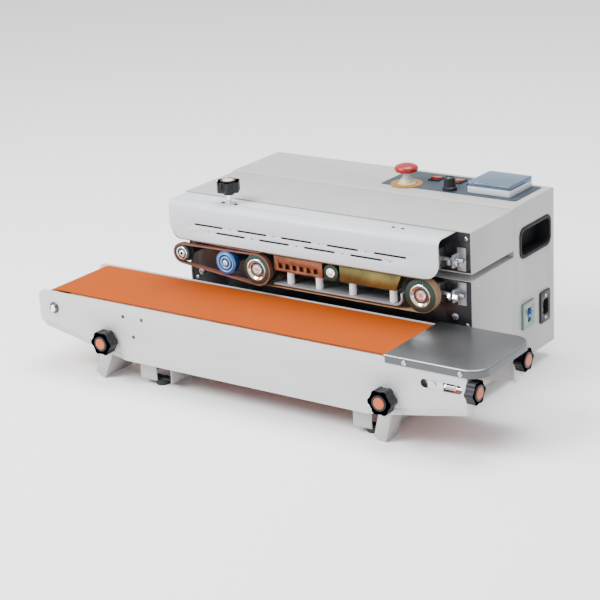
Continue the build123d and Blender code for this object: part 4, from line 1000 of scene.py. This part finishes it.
class SEALER_OT_screws(bpy.types.Operator):
    """Cross-recessed pan heads, nuts, springs and the end roller's washer and stub"""

    bl_idname = "sealer.screws"
    bl_label = "Screws and nuts"

    def execute(self, context):
        editing(merged_copy("housing_screws"))
        bpy.ops.mesh.separate(type="LOOSE")
        bpy.ops.object.mode_set(mode="OBJECT")
        shells = list(bpy.context.selected_objects)
        places = []
        for shell in shells:
            points = [v.co for v in shell.data.vertices]
            low = Vector(min(p[i] for p in points) for i in range(3)) / MM
            high = Vector(max(p[i] for p in points) for i in range(3)) / MM
            places.append((low, high))
        for shell in shells:
            bpy.data.objects.remove(shell)
        model = turned((0, 0, 0), "Z", PAN_HEAD, 24)
        cutters = [block(near, far, 0.01, 1) for near, far in PAN_RECESS]
        for cutter in cutters:
            modifier(model, "BOOLEAN", object=cutter, operation="DIFFERENCE", solver="EXACT")
        for cutter in cutters:
            bpy.data.objects.remove(cutter)
        knob = centre_of("pressure_knob")
        cover_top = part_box("front_cover")[1].z / MM
        for side in (-ROD_SCREW_OFFSET, ROD_SCREW_OFFSET):
            corner = Vector((knob.x + side - ROD_SCREW_R, knob.y - ROD_SCREW_R, cover_top))
            across = 2 * ROD_SCREW_R
            places.append((corner, corner + Vector((across, across, ROD_SCREW_TALL))))

        # Heads on top of the machine and on the front plate's left end are dark.
        bright, dark = [], []
        for low, high in places:
            size, middle = high - low, (low + high) / 2
            thin = min(range(3), key=lambda i: size[i])
            outward = {0: 1 if middle.x > 0 else -1, 1: 1 if middle.y > 0 else -1, 2: 1}[thin]
            radius = max(size) / 2
            aim = Vector((0, 0, 0))
            aim[thin] = outward
            seat = Vector(middle)
            seat[thin] = low[thin] if outward > 0 else high[thin]
            head = copied(model, (0, 0, 0))
            turn = aim.to_track_quat("Z", "Y").to_matrix().to_4x4()
            tall = size[thin] / PAN_TOP
            scale = Matrix.Diagonal((radius, radius, tall, 1))
            head.data.transform(Matrix.Translation(seat * MM) @ turn @ scale)
            small = thin == 2 or (thin == 1 and middle.y < -200 and middle.x < 0)
            (dark if small else bright).append(head)
        bpy.data.objects.remove(model)
        finished(joined(bright), "pan_heads", "zinc", "machine", ("housing_screws",), smooth=40)
        finished(joined(dark), "dark_heads", "dark_steel", "machine", smooth=40)

        end = (END_ROLLER_X, PLATE_FRONT, ROLLER_Z)
        washer = turned(end, "-Y", END_WASHER, ring=True)
        finished(washer, "end_washer", "dark_steel", "machine")
        stub = turned(end, "-Y", END_STUB)
        editing(stub)
        cut = Vector((END_ROLLER_X - STUB_FLAT, PLATE_FRONT, ROLLER_Z)) * MM
        bpy.ops.mesh.bisect(plane_co=cut, plane_no=(-1, 0, 0), use_fill=True, clear_outer=True)
        bpy.ops.object.mode_set(mode="OBJECT")
        finished(stub, "end_stub", "chrome_plate", NODES["left_end_roller"]["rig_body"])

        coils, steps = [], []
        for turn in range(SPRING_TURNS):
            start = SPRING_START + SPRING_PITCH * turn
            steps += [(start, 3.4), (start + 0.5, 4.7), (start + 1.2, 4.7), (start + 1.7, 3.4)]
        for y in SPRING_YS:
            coils.append(turned((TAIL_X + 18, y, ROLLER_Z), "X", steps, 28))
            coils.append(turned((TAIL_X + 18.1, y, ROLLER_Z), "X", TAIL_NUT, 6))
        axle_body = NODES["tail_axle"]["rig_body"]
        finished(joined(coils), "tail_springs", "zinc", axle_body, smooth=ROUND_ANGLE)

        for z, body in ((WHEEL_Z, "lower_carrier"), (2 * THROAT_Z - WHEEL_Z, "upper_carrier")):
            nuts = []
            for at, thick in CARRIER_NUTS:
                steps = ((0, 5.0), (0.5, 5.6), (thick - 0.5, 5.6), (thick, 5.0))
                nuts.append(turned((at, CARRIER_NUT_Y, z), "X", steps, 6))
            finished(joined(nuts), body + "_nuts", "chrome_plate", "machine", smooth=20)
        return {"FINISHED"}


class SEALER_OT_stage(bpy.types.Operator):
    """Pale floor, soft lights and the camera"""

    bl_idname = "sealer.stage"
    bl_label = "Stage"

    def execute(self, context):
        bpy.ops.object.select_all(action="DESELECT")
        bpy.ops.mesh.primitive_plane_add(size=30)
        floor = bpy.context.active_object
        floor.name = "floor"
        pale = bpy.data.materials.new("floor_paper")
        pale.use_nodes = True
        shader = pale.node_tree.nodes["Principled BSDF"]
        shader.inputs["Base Color"].default_value = FLOOR_COLOUR
        shader.inputs["Roughness"].default_value = FLOOR_ROUGH
        floor.data.materials.append(pale)

        world = bpy.data.worlds.new("studio")
        world.use_nodes = True
        sky = world.node_tree.nodes["Background"]
        sky.inputs["Color"].default_value = SKY_COLOUR
        sky.inputs["Strength"].default_value = SKY_STRENGTH
        context.scene.world = world
        for name, (place, size, power) in LIGHTS.items():
            lamp = bpy.data.lights.new(name, "AREA")
            lamp.energy, lamp.size = power, size
            holder = bpy.data.objects.new(name, lamp)
            context.scene.collection.objects.link(holder)
            holder.location = place
            aim = Vector(LIGHT_AIM) - Vector(place)
            holder.rotation_euler = aim.to_track_quat("-Z", "Y").to_euler()

        lens = bpy.data.cameras.new("camera")
        lens.lens, lens.sensor_width = CAMERA_LENS, CAMERA_SENSOR
        camera = bpy.data.objects.new("camera", lens)
        context.scene.collection.objects.link(camera)
        forward = Vector(CAMERA_FORWARD).normalized()
        right = Vector(CAMERA_RIGHT).normalized()
        up = right.cross(forward).normalized()
        right = forward.cross(up)
        turn = Matrix((right, up, -forward)).transposed().to_4x4()
        camera.matrix_world = Matrix.Translation(CAMERA_PLACE) @ turn
        lens.clip_start, lens.clip_end = 0.05, 60
        context.scene.camera = camera
        return {"FINISHED"}


STEPS = (
    SEALER_OT_finishes, SEALER_OT_housing, SEALER_OT_mouldings, SEALER_OT_hubs, SEALER_OT_posts,
    SEALER_OT_knobs, SEALER_OT_stop_button, SEALER_OT_controls, SEALER_OT_screws,
    SEALER_OT_stage,
)


class SEALER_PT_panel(bpy.types.Panel):
    """The sealer's building steps, sizes and colours"""

    bl_idname = "SEALER_PT_panel"
    bl_label = "Band Sealer"
    bl_space_type = "VIEW_3D"
    bl_region_type = "UI"
    bl_category = "Sealer"

    def draw(self, context):
        for group in (sizes(), colours()):
            for key in type(group).__annotations__:
                self.layout.prop(group, key)
        for step in STEPS:
            self.layout.operator(step.bl_idname)


CLASSES = (SealerColours, SealerSizes, *STEPS, SEALER_PT_panel)


def register():
    for cls in CLASSES:
        bpy.utils.register_class(cls)
    bpy.types.Scene.sealer_colours = bpy.props.PointerProperty(type=SealerColours)
    bpy.types.Scene.sealer_sizes = bpy.props.PointerProperty(type=SealerSizes)


def unregister():
    del bpy.types.Scene.sealer_sizes
    del bpy.types.Scene.sealer_colours
    for cls in reversed(CLASSES):
        bpy.utils.unregister_class(cls)


def main():
    register()
    for step in STEPS:
        group, name = step.bl_idname.split(".")
        getattr(getattr(bpy.ops, group), name)()


if __name__ == "__main__":
    main()
